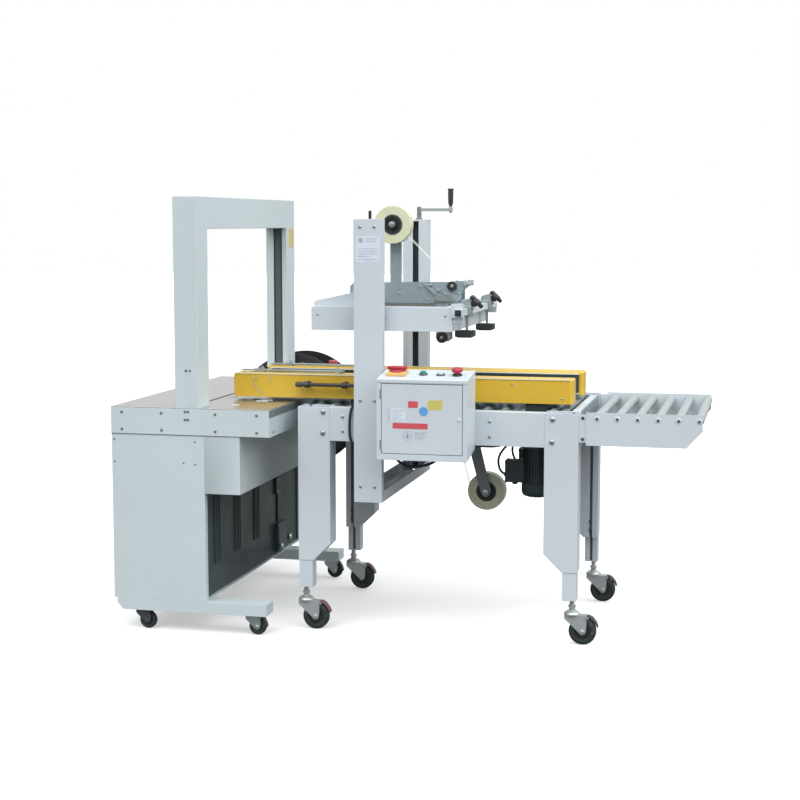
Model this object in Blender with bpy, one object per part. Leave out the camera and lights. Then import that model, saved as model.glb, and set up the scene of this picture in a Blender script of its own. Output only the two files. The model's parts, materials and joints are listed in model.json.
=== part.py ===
"""Carton sealing and strapping line: a side-belt sealer docked to an arch strapper.

Lengths are millimetres in the working frame: X runs along the conveyor, Y runs
away from the operator, Z is up from the floor.  X = 0 and Y = 0 are the left end
and the front face of the sealer's bed.  LINE_ORIGIN moves the finished line so
that its origin is the middle of its footprint.
"""

from math import atan2, cos, pi, radians, sin

import bmesh
import bpy
from mathutils import Matrix, Vector

MM = 0.001
GAP = 0.3
LINE_ORIGIN = Vector((393.0, 552.0, 0.0))

# Sealer bed
BED_LENGTH = 1020.0
BED_WIDTH = 738.0
BED_TOP = 826.0
RAIL_HEIGHT = 122.0
SHEET = 4.0
CENTRE_Y = BED_WIDTH / 2

# Sealer legs and casters
LEG_WIDTH = 120.0
LEG_DEPTH = 80.0
LEG_BOTTOM = 261.0
TUBE_SIZE = 50.0
TUBE_BOTTOM = 160.0
SEALER_CASTER = {"wheel": 49.0, "width": 28.0, "trail": 38.0, "top": TUBE_BOTTOM, "head": 28.0}
STEM_X = 19.0
STEM_Y = 33.0

# Lift columns and crank
COLUMN_LEFT = 219.0
COLUMN_RIGHT = 322.0
COLUMN_DEPTH = 46.0
COLUMN_BOTTOM = 489.0
COLUMN_TOP = 1501.0
COLUMN_MID = (COLUMN_LEFT + COLUMN_RIGHT) / 2
COLUMN_SLOT = 24.0
CRANK_X = 280.0
CRANK_Y = 762.0
CRANK_ARM = 128.0

# Lift head and tape heads
HEAD_LEFT = 45.0
HEAD_RIGHT = 564.0
HEAD_BOTTOM = 1103.0
HEAD_TOP = 1187.0
HEAD_FRONT = 26.0
PRESS_TUBE_X = 590.0
PRESS_TUBE_Z = 1171.0
PRESS_TUBE = 24.0
ROLL_RADIUS = 71.0
ROLL_WIDTH = 48.0
SPINDLE_RADIUS = 8.0
UPPER_ROLL = (270.0, 1481.0)
LOWER_ROLL = (633.0, 482.0)

# Side belts
BELT_LEFT = {"front": -300.0, "rear": -271.0}
BELT_RIGHT = 978.0
BELT_FRONT = 160.0
BELT_BOTTOM = 840.0
BELT_TOP = 928.0
COVER_DEPTH = 98.0
DRIVE_X = 846.0
DRIVE_Y = 210.0
DRIVE_SLOT = ((DRIVE_X - 48, 36), (DRIVE_X + 48, 296))
MOTOR_RADIUS = 58.0

# Control box
BOX_LEFT = 332.0
BOX_RIGHT = 654.0
BOX_FRONT = -150.0
LID_FRONT_Z = 947.0
LID_REAR_Z = 970.0
LID_SLOPE = atan2(LID_REAR_Z - LID_FRONT_Z, -BOX_FRONT)
BUTTON_Y = -75.0
SWITCH_X = 390.0
START_X = 483.0
STOP_X = 545.0
ESTOP_X = 604.0

# Roller extension
EXT_LEFT = 1046.0
EXT_RIGHT = 1446.0
EXT_BOTTOM = 716.0
EXT_TOP = 832.0
EXT_WIDTH = 705.0
ROLLER_RADIUS = 16.0
ROLLER_Z = 811.0
ROLLER_PITCH = 70.0
ROLLER_FIRST = 1084.0
ROLLER_COUNT = 6

# Strapper table, cabinet and base
TABLE_LEFT = -667.0
TABLE_RIGHT = -65.0
TABLE_FRONT = -141.0
TABLE_REAR = 1041.0
TABLE_TOP = 826.0
SKIRT_BOTTOM = 726.0
CABINET_RIGHT = -310.0
CABINET_REAR = 1030.0
DUCT_RIGHT = -176.0
DUCT_BOTTOM = 516.0
BASE_BOTTOM = 75.0
BASE_TOP = 117.0
BASE_RIGHT = -80.0
ARM_WIDTH = 80.0
REAR_ARM_Y = 835.0
STRAPPER_CASTER = {"wheel": 32.0, "width": 24.0, "trail": 25.0, "top": BASE_BOTTOM, "head": 20.0}
STRAPPER_STEMS = {
    "front_left": (-574.0, -101.0),
    "front_right": (-150.0, -101.0),
    "rear_left": (-559.0, 875.0),
    "rear_right": (-132.0, 875.0),
}

# Strapping arch
ARCH_LEFT = -418.0
ARCH_RIGHT = -328.0
ARCH_TOP = 1582.0
ARCH_BEAM = 116.0
ARCH_POST = 112.0
ARCH_WALL = 4.0
SLOT_X = (ARCH_LEFT + ARCH_RIGHT) / 2
SLOT_HALF = 7.0

STRAPPER_ESTOP = (-136.0, 965.0)
SWITCH_BOX_TOP = 884.0

# Strap reel
REEL_X = -337.0
REEL_Z = 678.0
REEL_RADIUS = 250.0
STRAP_RADIUS = 212.0
REEL_FRONT = 1058.0
REEL_REAR = 1246.0
REEL_BORE = 20.0


# ---------------------------------------------------------------- shapes

def outward(bm):
    """A closed shape with all its faces pointing out."""
    bmesh.ops.recalc_face_normals(bm, faces=bm.faces)
    if bm.calc_volume(signed=True) < 0:
        bmesh.ops.reverse_faces(bm, faces=bm.faces)
    return bm


def box(low, high):
    """A block between two corners."""
    bm = bmesh.new()
    bmesh.ops.create_cube(bm, size=1.0)
    size = Vector(high) - Vector(low)
    middle = (Vector(high) + Vector(low)) / 2
    bmesh.ops.transform(bm, matrix=Matrix.Translation(middle) @ Matrix.Diagonal((*size, 1)), verts=bm.verts)
    return bm


def prism(outline, axis, low, high):
    """An outline in the other two axes, in X-Y-Z order, extruded along an axis."""
    bm = bmesh.new()
    bases = [bm.verts.new(Vector((u, v)).to_3d()) for u, v in outline]
    face = bm.faces.new(bases)
    top = bmesh.ops.extrude_face_region(bm, geom=[face])["geom"]
    lifted = [item for item in top if isinstance(item, bmesh.types.BMVert)]
    bmesh.ops.translate(bm, vec=(0, 0, high - low), verts=lifted)
    bmesh.ops.translate(bm, vec=(0, 0, low), verts=bm.verts)
    order = {"X": (2, 0, 1), "Y": (0, 2, 1), "Z": (0, 1, 2)}[axis]
    for vert in bm.verts:
        vert.co = Vector([vert.co[index] for index in order])
    return outward(bm)


def turned(profile, axis, centre, segments=20):
    """A closed (radius, position) profile spun round an axis through a centre."""
    bm = bmesh.new()
    rings = []
    for radius, position in profile:
        if radius < 1e-6:
            rings.append([bm.verts.new((0, 0, position))])
            continue
        angles = [2 * pi * step / segments for step in range(segments)]
        rings.append([bm.verts.new((radius * cos(a), radius * sin(a), position)) for a in angles])
    for first, second in zip(rings, rings[1:] + rings[:1]):
        for step in range(segments):
            after = (step + 1) % segments
            corners = [first[step % len(first)], first[after % len(first)],
                       second[after % len(second)], second[step % len(second)]]
            unique = list(dict.fromkeys(corners))
            if len(unique) > 2:
                bm.faces.new(unique)
    turn = {"X": Matrix.Rotation(pi / 2, 4, "Y"), "Y": Matrix.Rotation(-pi / 2, 4, "X"), "Z": Matrix()}[axis]
    bmesh.ops.transform(bm, matrix=Matrix.Translation(centre) @ turn, verts=bm.verts)
    return outward(bm)


def rod(radius, axis, centre, low, high, segments=12):
    """A round bar; low and high are measured along the axis from the centre."""
    return turned([(0, low), (radius, low), (radius, high), (0, high)], axis, centre, segments)


def flipped(bm, middle):
    """A shape mirrored front to back about a plane of constant Y."""
    for vert in bm.verts:
        vert.co.y = 2 * middle - vert.co.y
    bmesh.ops.reverse_faces(bm, faces=bm.faces)
    return bm


def mirrored_x(bm, middle):
    """A shape mirrored left to right about a plane of constant X."""
    for vert in bm.verts:
        vert.co.x = 2 * middle - vert.co.x
    bmesh.ops.reverse_faces(bm, faces=bm.faces)
    return bm


def tilted(bm, pivot, angle, axis="X"):
    """A shape turned about an axis through a pivot."""
    bmesh.ops.rotate(bm, cent=pivot, matrix=Matrix.Rotation(angle, 3, axis), verts=bm.verts)
    return bm


def lipped_channel(left, right, front, rear, wall, slot, middle=None):
    """A C section, open towards +Y through a slot between two lips."""
    middle = (left + right) / 2 if middle is None else middle
    return [(left, front), (right, front), (right, rear), (middle + slot / 2, rear),
            (middle + slot / 2, rear - wall), (right - wall, rear - wall), (right - wall, front + wall),
            (left + wall, front + wall), (left + wall, rear - wall), (middle - slot / 2, rear - wall),
            (middle - slot / 2, rear), (left, rear)]


def inset_box(low, high, wall):
    """The inside of a box with walls of one thickness, left open at the top."""
    low = Vector(low) + Vector((wall, wall, wall))
    high = Vector(high) + Vector((-wall, -wall, wall))
    return box(low, high)


# ---------------------------------------------------------------- objects

def clear_scene():
    for item in list(bpy.data.objects):
        bpy.data.objects.remove(item, do_unlink=True)


def material(name, colour, roughness, metallic=0.0):
    shade = bpy.data.materials.new(name)
    shade.use_nodes = True
    shader = shade.node_tree.nodes["Principled BSDF"]
    shader.inputs["Base Color"].default_value = (*colour, 1.0)
    shader.inputs["Roughness"].default_value = roughness
    shader.inputs["Metallic"].default_value = metallic
    return shade


def temporary(bm, name="piece"):
    mesh = bpy.data.meshes.new(name)
    bm.to_mesh(mesh)
    bm.free()
    item = bpy.data.objects.new(name, mesh)
    bpy.context.scene.collection.objects.link(item)
    return item


def merged(parts, cuts):
    """One closed body: the union of the parts, less the cuts."""
    base = temporary(parts[0])
    tools = []
    for operation, shapes in (("UNION", parts[1:]), ("DIFFERENCE", cuts)):
        for shape in shapes:
            tool = temporary(shape, "tool")
            tools.append(tool)
            change = base.modifiers.new(operation.lower(), "BOOLEAN")
            change.operation = operation
            change.solver = "EXACT"
            change.object = tool
    bpy.context.view_layer.update()
    graph = bpy.context.evaluated_depsgraph_get()
    mesh = bpy.data.meshes.new_from_object(base.evaluated_get(graph))
    for item in tools + [base]:
        bpy.data.objects.remove(item, do_unlink=True)
    return mesh


def solid(name, shade, parts, cuts=(), pivot=(0, 0, 0)):
    """A named object made of merged shapes, with its origin at the pivot."""
    mesh = merged(list(parts), list(cuts))
    bm = bmesh.new()
    bm.from_mesh(mesh)
    bmesh.ops.dissolve_limit(bm, angle_limit=radians(0.5), verts=bm.verts, edges=bm.edges)
    bmesh.ops.transform(bm, matrix=Matrix.Scale(MM, 4) @ Matrix.Translation(-Vector(pivot)), verts=bm.verts)
    bmesh.ops.triangulate(bm, faces=bm.faces)
    bm.to_mesh(mesh)
    bm.free()
    mesh.name = name
    mesh.shade_smooth()
    mesh.set_sharp_from_angle(angle=radians(35))
    mesh.materials.clear()
    mesh.materials.append(shade)
    item = bpy.data.objects.new(name, mesh)
    item.location = Vector(pivot) * MM
    item.parent = bpy.data.objects["line_origin"]
    bpy.context.scene.collection.objects.link(item)
    return item


# ---------------------------------------------------------------- sealer frame

def bed_rails(paint):
    rail_bottom = BED_TOP - RAIL_HEIGHT
    outline = [(0, rail_bottom), (30, rail_bottom), (30, rail_bottom + SHEET), (SHEET, rail_bottom + SHEET),
               (SHEET, BED_TOP - SHEET), (40, BED_TOP - SHEET), (40, BED_TOP), (0, BED_TOP)]
    low, high = LEG_WIDTH + GAP, BED_LENGTH - LEG_WIDTH - GAP
    solid("bed_rail_front", paint, [prism(outline, "X", low, high)])
    solid("bed_rail_rear", paint, [flipped(prism(outline, "X", low, high), CENTRE_Y)])


def bed_deck(steel):
    """The deck between the rails, with end walls and slots for the drives and tape head."""
    bottom, floor = BED_TOP - RAIL_HEIGHT, 780.0
    right = BED_LENGTH
    outline = [(0, bottom), (SHEET, bottom), (SHEET, floor), (right - SHEET, floor), (right - SHEET, bottom),
               (right, bottom), (right, BED_TOP), (right - SHEET, BED_TOP), (right - SHEET, floor + SHEET),
               (SHEET, floor + SHEET), (SHEET, BED_TOP), (0, BED_TOP)]
    side = LEG_DEPTH + GAP
    inset = LEG_WIDTH + 5
    middle = box((inset, SHEET + GAP, floor + 1), (right - inset, BED_WIDTH - SHEET - GAP, floor + 3))
    drive_slot = ((*DRIVE_SLOT[0], floor - 9), (*DRIVE_SLOT[1], floor + 11))
    tape_slot = box((400, CENTRE_Y - 40, floor - 9), (700, CENTRE_Y + 40, floor + 11))
    solid("bed_deck", steel, [prism(outline, "Y", side, BED_WIDTH - side), middle],
          [box(*drive_slot), flipped(box(*drive_slot), CENTRE_Y), tape_slot])


def leg(name, paint, at_right, at_rear):
    """A folded leg with a slotted foot tube, the outer corner at the bed's corner."""
    outer = lipped_channel(0, LEG_WIDTH, 0, LEG_DEPTH, SHEET, 11, 2 + TUBE_SIZE / 2)
    inner = lipped_channel(2, 2 + TUBE_SIZE, 2, 2 + TUBE_SIZE, 3, 10)
    shell = prism(outer, "Z", LEG_BOTTOM, BED_TOP)
    tube = prism(inner, "Z", TUBE_BOTTOM + 2, LEG_BOTTOM + 240)
    foot = box((2, 2, TUBE_BOTTOM), (2 + TUBE_SIZE, 2 + TUBE_SIZE, TUBE_BOTTOM + 5))
    corner = [(TUBE_SIZE + 4, LEG_BOTTOM - 1), (LEG_WIDTH + 1, LEG_BOTTOM - 1),
              (LEG_WIDTH + 1, LEG_BOTTOM + 64)]
    chamfer = prism(corner, "Y", -1, LEG_DEPTH + 1)
    # The tube leans on the shell's front and outer walls, so those two faces share metal.
    shapes = [shell, tube, foot, chamfer]
    if at_right:
        shapes = [mirrored_x(shape, BED_LENGTH / 2) for shape in shapes]
    if at_rear:
        shapes = [flipped(shape, CENTRE_Y) for shape in shapes]
    solid(name, paint, shapes[:3], shapes[3:])


def columns(paint):
    """Two slotted columns; the rear one carries the open channel that ties their feet together."""
    outline = lipped_channel(COLUMN_LEFT, COLUMN_RIGHT, -32, -32 + COLUMN_DEPTH, SHEET, COLUMN_SLOT)
    notch = box((COLUMN_LEFT - 5, -GAP, COLUMN_BOTTOM - 5), (COLUMN_RIGHT + 5, 20, BED_TOP + GAP))
    solid("column_front", paint, [prism(outline, "Z", COLUMN_BOTTOM, COLUMN_TOP)], [notch])
    rear = lipped_channel(COLUMN_LEFT, COLUMN_RIGHT, -45 - GAP, -GAP, SHEET, COLUMN_SLOT)
    left, right, bottom, lip = COLUMN_LEFT, COLUMN_RIGHT, COLUMN_BOTTOM, COLUMN_BOTTOM + 40
    channel = [(left, bottom), (right, bottom), (right, lip), (right - SHEET, lip),
               (right - SHEET, bottom + SHEET), (left + SHEET, bottom + SHEET), (left + SHEET, lip),
               (left, lip)]
    tie = prism(channel, "Y", -GAP + 0.6, BED_WIDTH + 2)
    solid("column_rear", paint, [flipped(prism(rear, "Z", COLUMN_BOTTOM, COLUMN_TOP), CENTRE_Y), tie])


def crank(chrome):
    hub_z = COLUMN_TOP + GAP
    hub = turned([(0, hub_z), (13, hub_z), (13, hub_z + 6), (7.5, hub_z + 6), (7.5, 1562), (0, 1562)],
                 "Z", (CRANK_X, CRANK_Y, 0), 12)
    arm = box((CRANK_X - 9, CRANK_Y - 5, 1543), (CRANK_X + CRANK_ARM + 8, CRANK_Y + 5, 1551))
    grip = [(0, 1549), (7, 1549), (8, 1560), (11, 1600), (12, 1618), (9, 1624), (0, 1624)]
    solid("crank_handle", chrome, [hub, arm, turned(grip, "Z", (CRANK_X + CRANK_ARM, CRANK_Y, 0), 12)],
          pivot=(CRANK_X, CRANK_Y, 1547))


# ---------------------------------------------------------------- lift head

def head_frame(paint):
    """A ring of four folded beams, its slides in the columns and a cross tube for the pressers."""
    rear = BED_WIDTH - HEAD_FRONT
    ring = box((HEAD_LEFT, HEAD_FRONT, HEAD_BOTTOM), (HEAD_RIGHT, rear, HEAD_TOP))
    hollow = box((HEAD_LEFT + SHEET, HEAD_FRONT + SHEET, HEAD_BOTTOM - 5),
                 (HEAD_RIGHT - SHEET, rear - SHEET, HEAD_TOP - SHEET))
    rim = 44
    top_hole = box((HEAD_LEFT + rim, HEAD_FRONT + rim, HEAD_TOP - 9),
                   (HEAD_RIGHT - rim, rear - rim, HEAD_TOP + 5))
    slide = ((COLUMN_MID - 11, -22, HEAD_BOTTOM + 4), (COLUMN_MID + 11, HEAD_FRONT + 2, HEAD_TOP - 6))
    half = PRESS_TUBE / 2
    tube = box((PRESS_TUBE_X - half, 4, PRESS_TUBE_Z - half),
               (PRESS_TUBE_X + half, BED_WIDTH - 4, PRESS_TUBE_Z + half))
    lug = ((HEAD_RIGHT - 3, 20, HEAD_TOP - 34), (PRESS_TUBE_X + half + 4, 27, HEAD_TOP + 16))
    solid("head_frame", paint,
          [ring, box(*slide), flipped(box(*slide), CENTRE_Y), tube, box(*lug), flipped(box(*lug), CENTRE_Y)],
          [hollow, top_hole])


def plate_pair(outline, half_gap, thickness):
    """Two equal plates on either side of the tape's centre plane."""
    low, high = CENTRE_Y - half_gap - thickness, CENTRE_Y - half_gap
    return [prism(outline, "Y", low, high), flipped(prism(outline, "Y", low, high), CENTRE_Y)]


def upper_tape_head(steel):
    outline = [(108, 1189), (508, 1189), (538, 1204), (538, 1238), (552, 1251), (570, 1256), (571, 1273),
               (556, 1277), (498, 1267), (120, 1262), (108, 1250)]
    arm = [(440, 1195), (490, 1195), (490, 1050), (450, 1044), (440, 1060)]
    shapes = plate_pair(outline, 34, 3) + plate_pair(arm, 31, 4)
    for x, z, radius in ((130, 1225, 8), (300, 1225, 8), (500, 1253, 9), (465, 1062, 20)):
        shapes.append(rod(radius, "Y", (x, CENTRE_Y, z), -36, 36))
    strut = prism([(248, 1200), (292, 1200), (292, 1496), (248, 1496)], "Y", CENTRE_Y + 33, CENTRE_Y + 38)
    x, z = UPPER_ROLL
    spindle = turned([(0, -36), (12, -36), (12, -27), (SPINDLE_RADIUS, -27), (SPINDLE_RADIUS, 36), (0, 36)],
                     "Y", (x, CENTRE_Y, z), 16)
    cross = box((HEAD_LEFT + 20, CENTRE_Y - 36, HEAD_TOP + GAP),
                (HEAD_RIGHT - 20, CENTRE_Y + 36, HEAD_TOP + 6))
    window = box((200, CENTRE_Y - 30, HEAD_TOP - 5), (510, CENTRE_Y + 30, HEAD_TOP + 12))
    solid("upper_tape_head", steel, [cross] + shapes + [strut, spindle], [window])


def tape_roll(name, tape, centre):
    x, z = centre
    half, bore = ROLL_WIDTH / 2, SPINDLE_RADIUS + 0.4
    profile = [(bore, -half), (36, -half), (38, -half + 2), (ROLL_RADIUS, -half + 2), (ROLL_RADIUS, half - 2),
               (38, half - 2), (36, half), (bore, half)]
    solid(name, tape, [turned(profile, "Y", (x, CENTRE_Y, z), 28)], pivot=(x, CENTRE_Y, z))


def presser(name, black, middle_y):
    """A clamp on the cross tube with its locking knob and the press block under it."""
    x, z, half = PRESS_TUBE_X, PRESS_TUBE_Z, PRESS_TUBE / 2
    clamp = box((x - half - 7, middle_y - 20, z - half - 8), (x + half + 10, middle_y + 20, z + half + 8))
    bore = half + 0.5
    hole = box((x - bore, middle_y - 30, z - bore), (x + bore, middle_y + 30, z + bore))
    seat = (x + 8, middle_y, z + 6)
    knob_profile = [(0, 0), (12, 0), (12, 32), (28, 32), (28, 46), (0, 46)]
    knob = tilted(turned(knob_profile, "Z", seat, 14), seat, radians(45), "Y")
    stem = rod(6, "Z", (x + 4, middle_y, 0), 1100, z - half - 4)
    block = box((x - 36, middle_y - 26, 1078), (x + 32, middle_y + 26, 1102))
    solid(name, black, [clamp, knob, stem, block], [hole], pivot=(x, middle_y, z))


# ---------------------------------------------------------------- side belts

def belt_unit(side, yellow):
    """A folded cover over its belt beam, with the drive housing that goes down to the motor."""
    left, back = BELT_LEFT[side], BELT_FRONT + COVER_DEPTH
    cover = box((left, BELT_FRONT, BELT_BOTTOM), (BELT_RIGHT, back, BELT_TOP))
    inside = box((left + 3, BELT_FRONT + 3, BELT_BOTTOM - 5), (BELT_RIGHT - 3, back - 3, BELT_TOP - 3))
    beam = box((left + 16, back - 8, BELT_BOTTOM + 10), (BELT_RIGHT - 16, back + 22, BELT_TOP - 16))
    housing = box((DRIVE_X - 40, DRIVE_Y - 40, 704), (DRIVE_X + 40, DRIVE_Y + 40, BELT_TOP - 2))
    foot = box((150, DRIVE_Y - 25, 784 + GAP), (200, DRIVE_Y + 25, BELT_TOP - 2))
    shapes = [cover, inside, beam, housing, foot]
    if side == "rear":
        shapes = [flipped(shape, CENTRE_Y) for shape in shapes]
    shell = shell_of(shapes[0], shapes[1])
    solid(f"belt_unit_{side}", yellow, [shell] + shapes[2:])


def shell_of(outer, inner):
    """The outer shape less the inner one, as a shape for a further union."""
    mesh = merged([outer], [inner])
    bm = bmesh.new()
    bm.from_mesh(mesh)
    bpy.data.meshes.remove(mesh)
    return bm


def drive_motor(side, black):
    profile = [(0, 497), (43, 497), (53, 503), (MOTOR_RADIUS, 516), (MOTOR_RADIUS, 690), (50, 695),
               (50, 704 - GAP), (0, 704 - GAP)]
    barrel = turned(profile, "Z", (DRIVE_X, DRIVE_Y, 0), 20)
    terminal = box((DRIVE_X - 114, DRIVE_Y - 34, 545), (DRIVE_X - 46, DRIVE_Y + 34, 628))
    shapes = [barrel, terminal]
    if side == "rear":
        shapes = [flipped(shape, CENTRE_Y) for shape in shapes]
    solid(f"motor_{side}", black, shapes)


def lower_tape_head(steel):
    outline = [(430, 650), (660, 650), (660, 800), (640, 818), (450, 818), (430, 800)]
    shapes = plate_pair(outline, 30, 3)
    for x, z, radius in ((455, 800, 18), (500, 690, 10), (632, 806, 18), (560, 720, 8)):
        shapes.append(rod(radius, "Y", (x, CENTRE_Y, z), -32, 32))
    x, z = LOWER_ROLL
    arm = [(560, 700), (596, 716), (x + 20, z + 6), (x + 8, z - 18), (x - 12, z - 14), (x - 18, z + 2)]
    strut = prism(arm, "Y", CENTRE_Y - 38, CENTRE_Y - 32)
    spindle = turned([(0, -42), (10, -42), (10, -34), (SPINDLE_RADIUS, -34), (SPINDLE_RADIUS, 28), (0, 28)],
                     "Y", (x, CENTRE_Y, z), 16)
    under_deck = 780 - GAP
    lugs = [box((left, middle - 14.5, 770), (left + 30, middle + 14.5, under_deck))
            for left in (440, 620) for middle in (CENTRE_Y - 45.5, CENTRE_Y + 45.5)]
    solid("lower_tape_head", steel, shapes + [strut, spindle] + lugs)


# ---------------------------------------------------------------- control box

def on_lid(x, height=0.0):
    """A point above the sloped lid, in the row of switches."""
    lid_z = LID_FRONT_Z + (BUTTON_Y - BOX_FRONT) * (LID_REAR_Z - LID_FRONT_Z) / -BOX_FRONT
    return Vector((x, BUTTON_Y - height * sin(LID_SLOPE), lid_z + height * cos(LID_SLOPE)))


def lid_turned(profile, x):
    """A profile turned round the lid's normal, above one of the switch places."""
    seat = on_lid(x, GAP)
    return tilted(turned(profile, "Z", seat, 16), seat, LID_SLOPE)


def control_box(paint, red, green, black):
    rear = -GAP
    outline = [(BOX_FRONT, 664), (rear, 693), (rear, LID_REAR_Z), (BOX_FRONT, LID_FRONT_Z)]
    inner = [(BOX_FRONT + 3, 668), (rear - 3, 696), (rear - 3, LID_REAR_Z - 3),
             (BOX_FRONT + 3, LID_FRONT_Z - 3)]
    door_low, door_high = (348, BOX_FRONT - 5, 686), (638, BOX_FRONT + 8, 933)
    holes = [lid_turned([(0, -20), (radius + 0.6, -20), (radius + 0.6, 10), (0, 10)], x)
             for x, radius in ((START_X, 11), (STOP_X, 11), (ESTOP_X, 9))]
    solid("control_box", paint, [prism(outline, "X", BOX_LEFT, BOX_RIGHT)],
          [prism(inner, "X", BOX_LEFT + 3, BOX_RIGHT - 3), box(door_low, door_high)] + holes)
    solid("control_door", paint, [box((350, BOX_FRONT, 688), (636, BOX_FRONT + 2.5, 931))],
          pivot=(350, BOX_FRONT, 800))
    knob = lid_turned([(0, 0), (30, 0), (30, 14), (24, 18), (0, 18)], SWITCH_X)
    seat = on_lid(SWITCH_X)
    grip = tilted(box(seat + Vector((-34, -7, 14)), seat + Vector((34, 7, 30))), seat, LID_SLOPE)
    solid("main_switch", red, [knob, grip], pivot=seat)
    button = [(0, -8), (11, -8), (11, 12), (9.5, 14), (0, 14)]
    solid("start_button", green, [lid_turned(button, START_X)], pivot=on_lid(START_X))
    solid("stop_button", black, [lid_turned(button, STOP_X)], pivot=on_lid(STOP_X))
    mushroom = [(0, -10), (9, -10), (9, 14), (19, 16), (19, 25), (14, 29), (0, 30)]
    solid("sealer_estop_button", red, [lid_turned(mushroom, ESTOP_X)], pivot=on_lid(ESTOP_X))


# ---------------------------------------------------------------- roller extension

def extension(paint, roller_steel):
    front = [(EXT_LEFT, EXT_BOTTOM), (EXT_RIGHT - 55, EXT_BOTTOM), (EXT_RIGHT, EXT_BOTTOM + 60),
             (EXT_RIGHT, EXT_TOP), (EXT_LEFT, EXT_TOP)]
    bracket = box((BED_LENGTH + GAP, SHEET - 1, EXT_BOTTOM + 10), (EXT_LEFT + 20, SHEET + 4, EXT_TOP - 8))
    middle = EXT_WIDTH / 2
    tie = ((BED_LENGTH + GAP, 2, 740), (BED_LENGTH + 5, EXT_WIDTH - 2, 770))
    far_tie = ((1330, 2, 722), (1370, EXT_WIDTH - 2, 746))
    sides = [prism(front, "Y", 0, SHEET), bracket]
    sides += [flipped(prism(front, "Y", 0, SHEET), middle), flipped(bracket.copy(), middle)]
    centres = [ROLLER_FIRST + step * ROLLER_PITCH for step in range(ROLLER_COUNT)]
    holes = [box((x - 7, -5, ROLLER_Z - 7), (x + 7, EXT_WIDTH + 5, ROLLER_Z + 7)) for x in centres]
    solid("extension_frame", paint, sides + [box(*tie), box(*far_tie)], holes)
    tube, shaft = middle - 9, middle - 1
    profile = [(0, -shaft), (6, -shaft), (6, -tube), (ROLLER_RADIUS, -tube), (ROLLER_RADIUS, tube), (6, tube),
               (6, shaft), (0, shaft)]
    for step, x in enumerate(centres, 1):
        centre = (x, middle, ROLLER_Z)
        solid(f"extension_roller_{step}", roller_steel, [turned(profile, "Y", centre, 14)], pivot=centre)


# ---------------------------------------------------------------- strapper

def strapper_base(paint):
    left, right = TABLE_LEFT + 12, BASE_RIGHT
    arm = [(left, BASE_TOP), (left, BASE_BOTTOM + 24), (left + 24, BASE_BOTTOM), (right - 4, BASE_BOTTOM),
           (right, BASE_BOTTOM + 4), (right, BASE_TOP)]
    front = prism(arm, "Y", TABLE_FRONT, TABLE_FRONT + ARM_WIDTH)
    rear = prism(arm, "Y", REAR_ARM_Y, REAR_ARM_Y + ARM_WIDTH)
    beams = [box((x, TABLE_FRONT + 20, BASE_BOTTOM + 2), (x + 50, REAR_ARM_Y + 20, BASE_TOP - 2))
             for x in (left + 30, CABINET_RIGHT - 160)]
    solid("strapper_base", paint, [front, rear] + beams)


def strapper_cabinet(paint, charcoal):
    low = (TABLE_LEFT, TABLE_FRONT + 2, BASE_TOP + GAP)
    high = (CABINET_RIGHT, CABINET_REAR, SKIRT_BOTTOM - GAP)
    hollow = box((TABLE_LEFT + 3, TABLE_FRONT + 5, BASE_TOP + 4),
                 (CABINET_RIGHT + 5, CABINET_REAR - 3, SKIRT_BOTTOM - 4))
    lip = box((CABINET_RIGHT - 3, TABLE_FRONT + 3, BASE_TOP + 2),
              (CABINET_RIGHT, TABLE_FRONT + 30, SKIRT_BOTTOM - 2))
    solid("strapper_cabinet", paint, [shell_of(box(low, high), hollow), lip])
    panel = box((-326, TABLE_FRONT + 8, 124), (-323, CABINET_REAR - 6, 716))
    ribs = [box((-324, middle + step, 232), (-317, middle + step + 8, 560))
            for middle in (20, 250, 480) for step in (-31, -13, 5, 23)]
    switch_box = box((-325, 705, 134), (-303, 825, 250))
    solid("cabinet_side_panel", charcoal, [panel, switch_box] + ribs)


def table_frame(paint):
    """The skirt and floor under the table tops, the strap duct and the reel's spindle."""
    low = (TABLE_LEFT, TABLE_FRONT, SKIRT_BOTTOM)
    high = (TABLE_RIGHT, TABLE_REAR, TABLE_TOP - 3)
    skirt = shell_of(box(low, high), inset_box(low, high, 3))
    duct_low = (CABINET_RIGHT + GAP, TABLE_FRONT + 2, DUCT_BOTTOM)
    duct_high = (DUCT_RIGHT, CABINET_REAR, SKIRT_BOTTOM + 1)
    duct = shell_of(box(duct_low, duct_high), inset_box(duct_low, duct_high, 3))
    bracket = box((REEL_X - 70, TABLE_REAR - 2, REEL_Z - 60), (REEL_X + 70, TABLE_REAR + 5, TABLE_TOP - 20))
    spindle = rod(REEL_BORE - 1, "Y", (REEL_X, 0, REEL_Z), TABLE_REAR + 2, REEL_REAR + 8, 16)
    mouth = box((-300, 0, SKIRT_BOTTOM - 5), (-186, 990, SKIRT_BOTTOM + 5))
    solid("table_frame", paint, [skirt, duct, bracket, spindle], [mouth])


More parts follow.
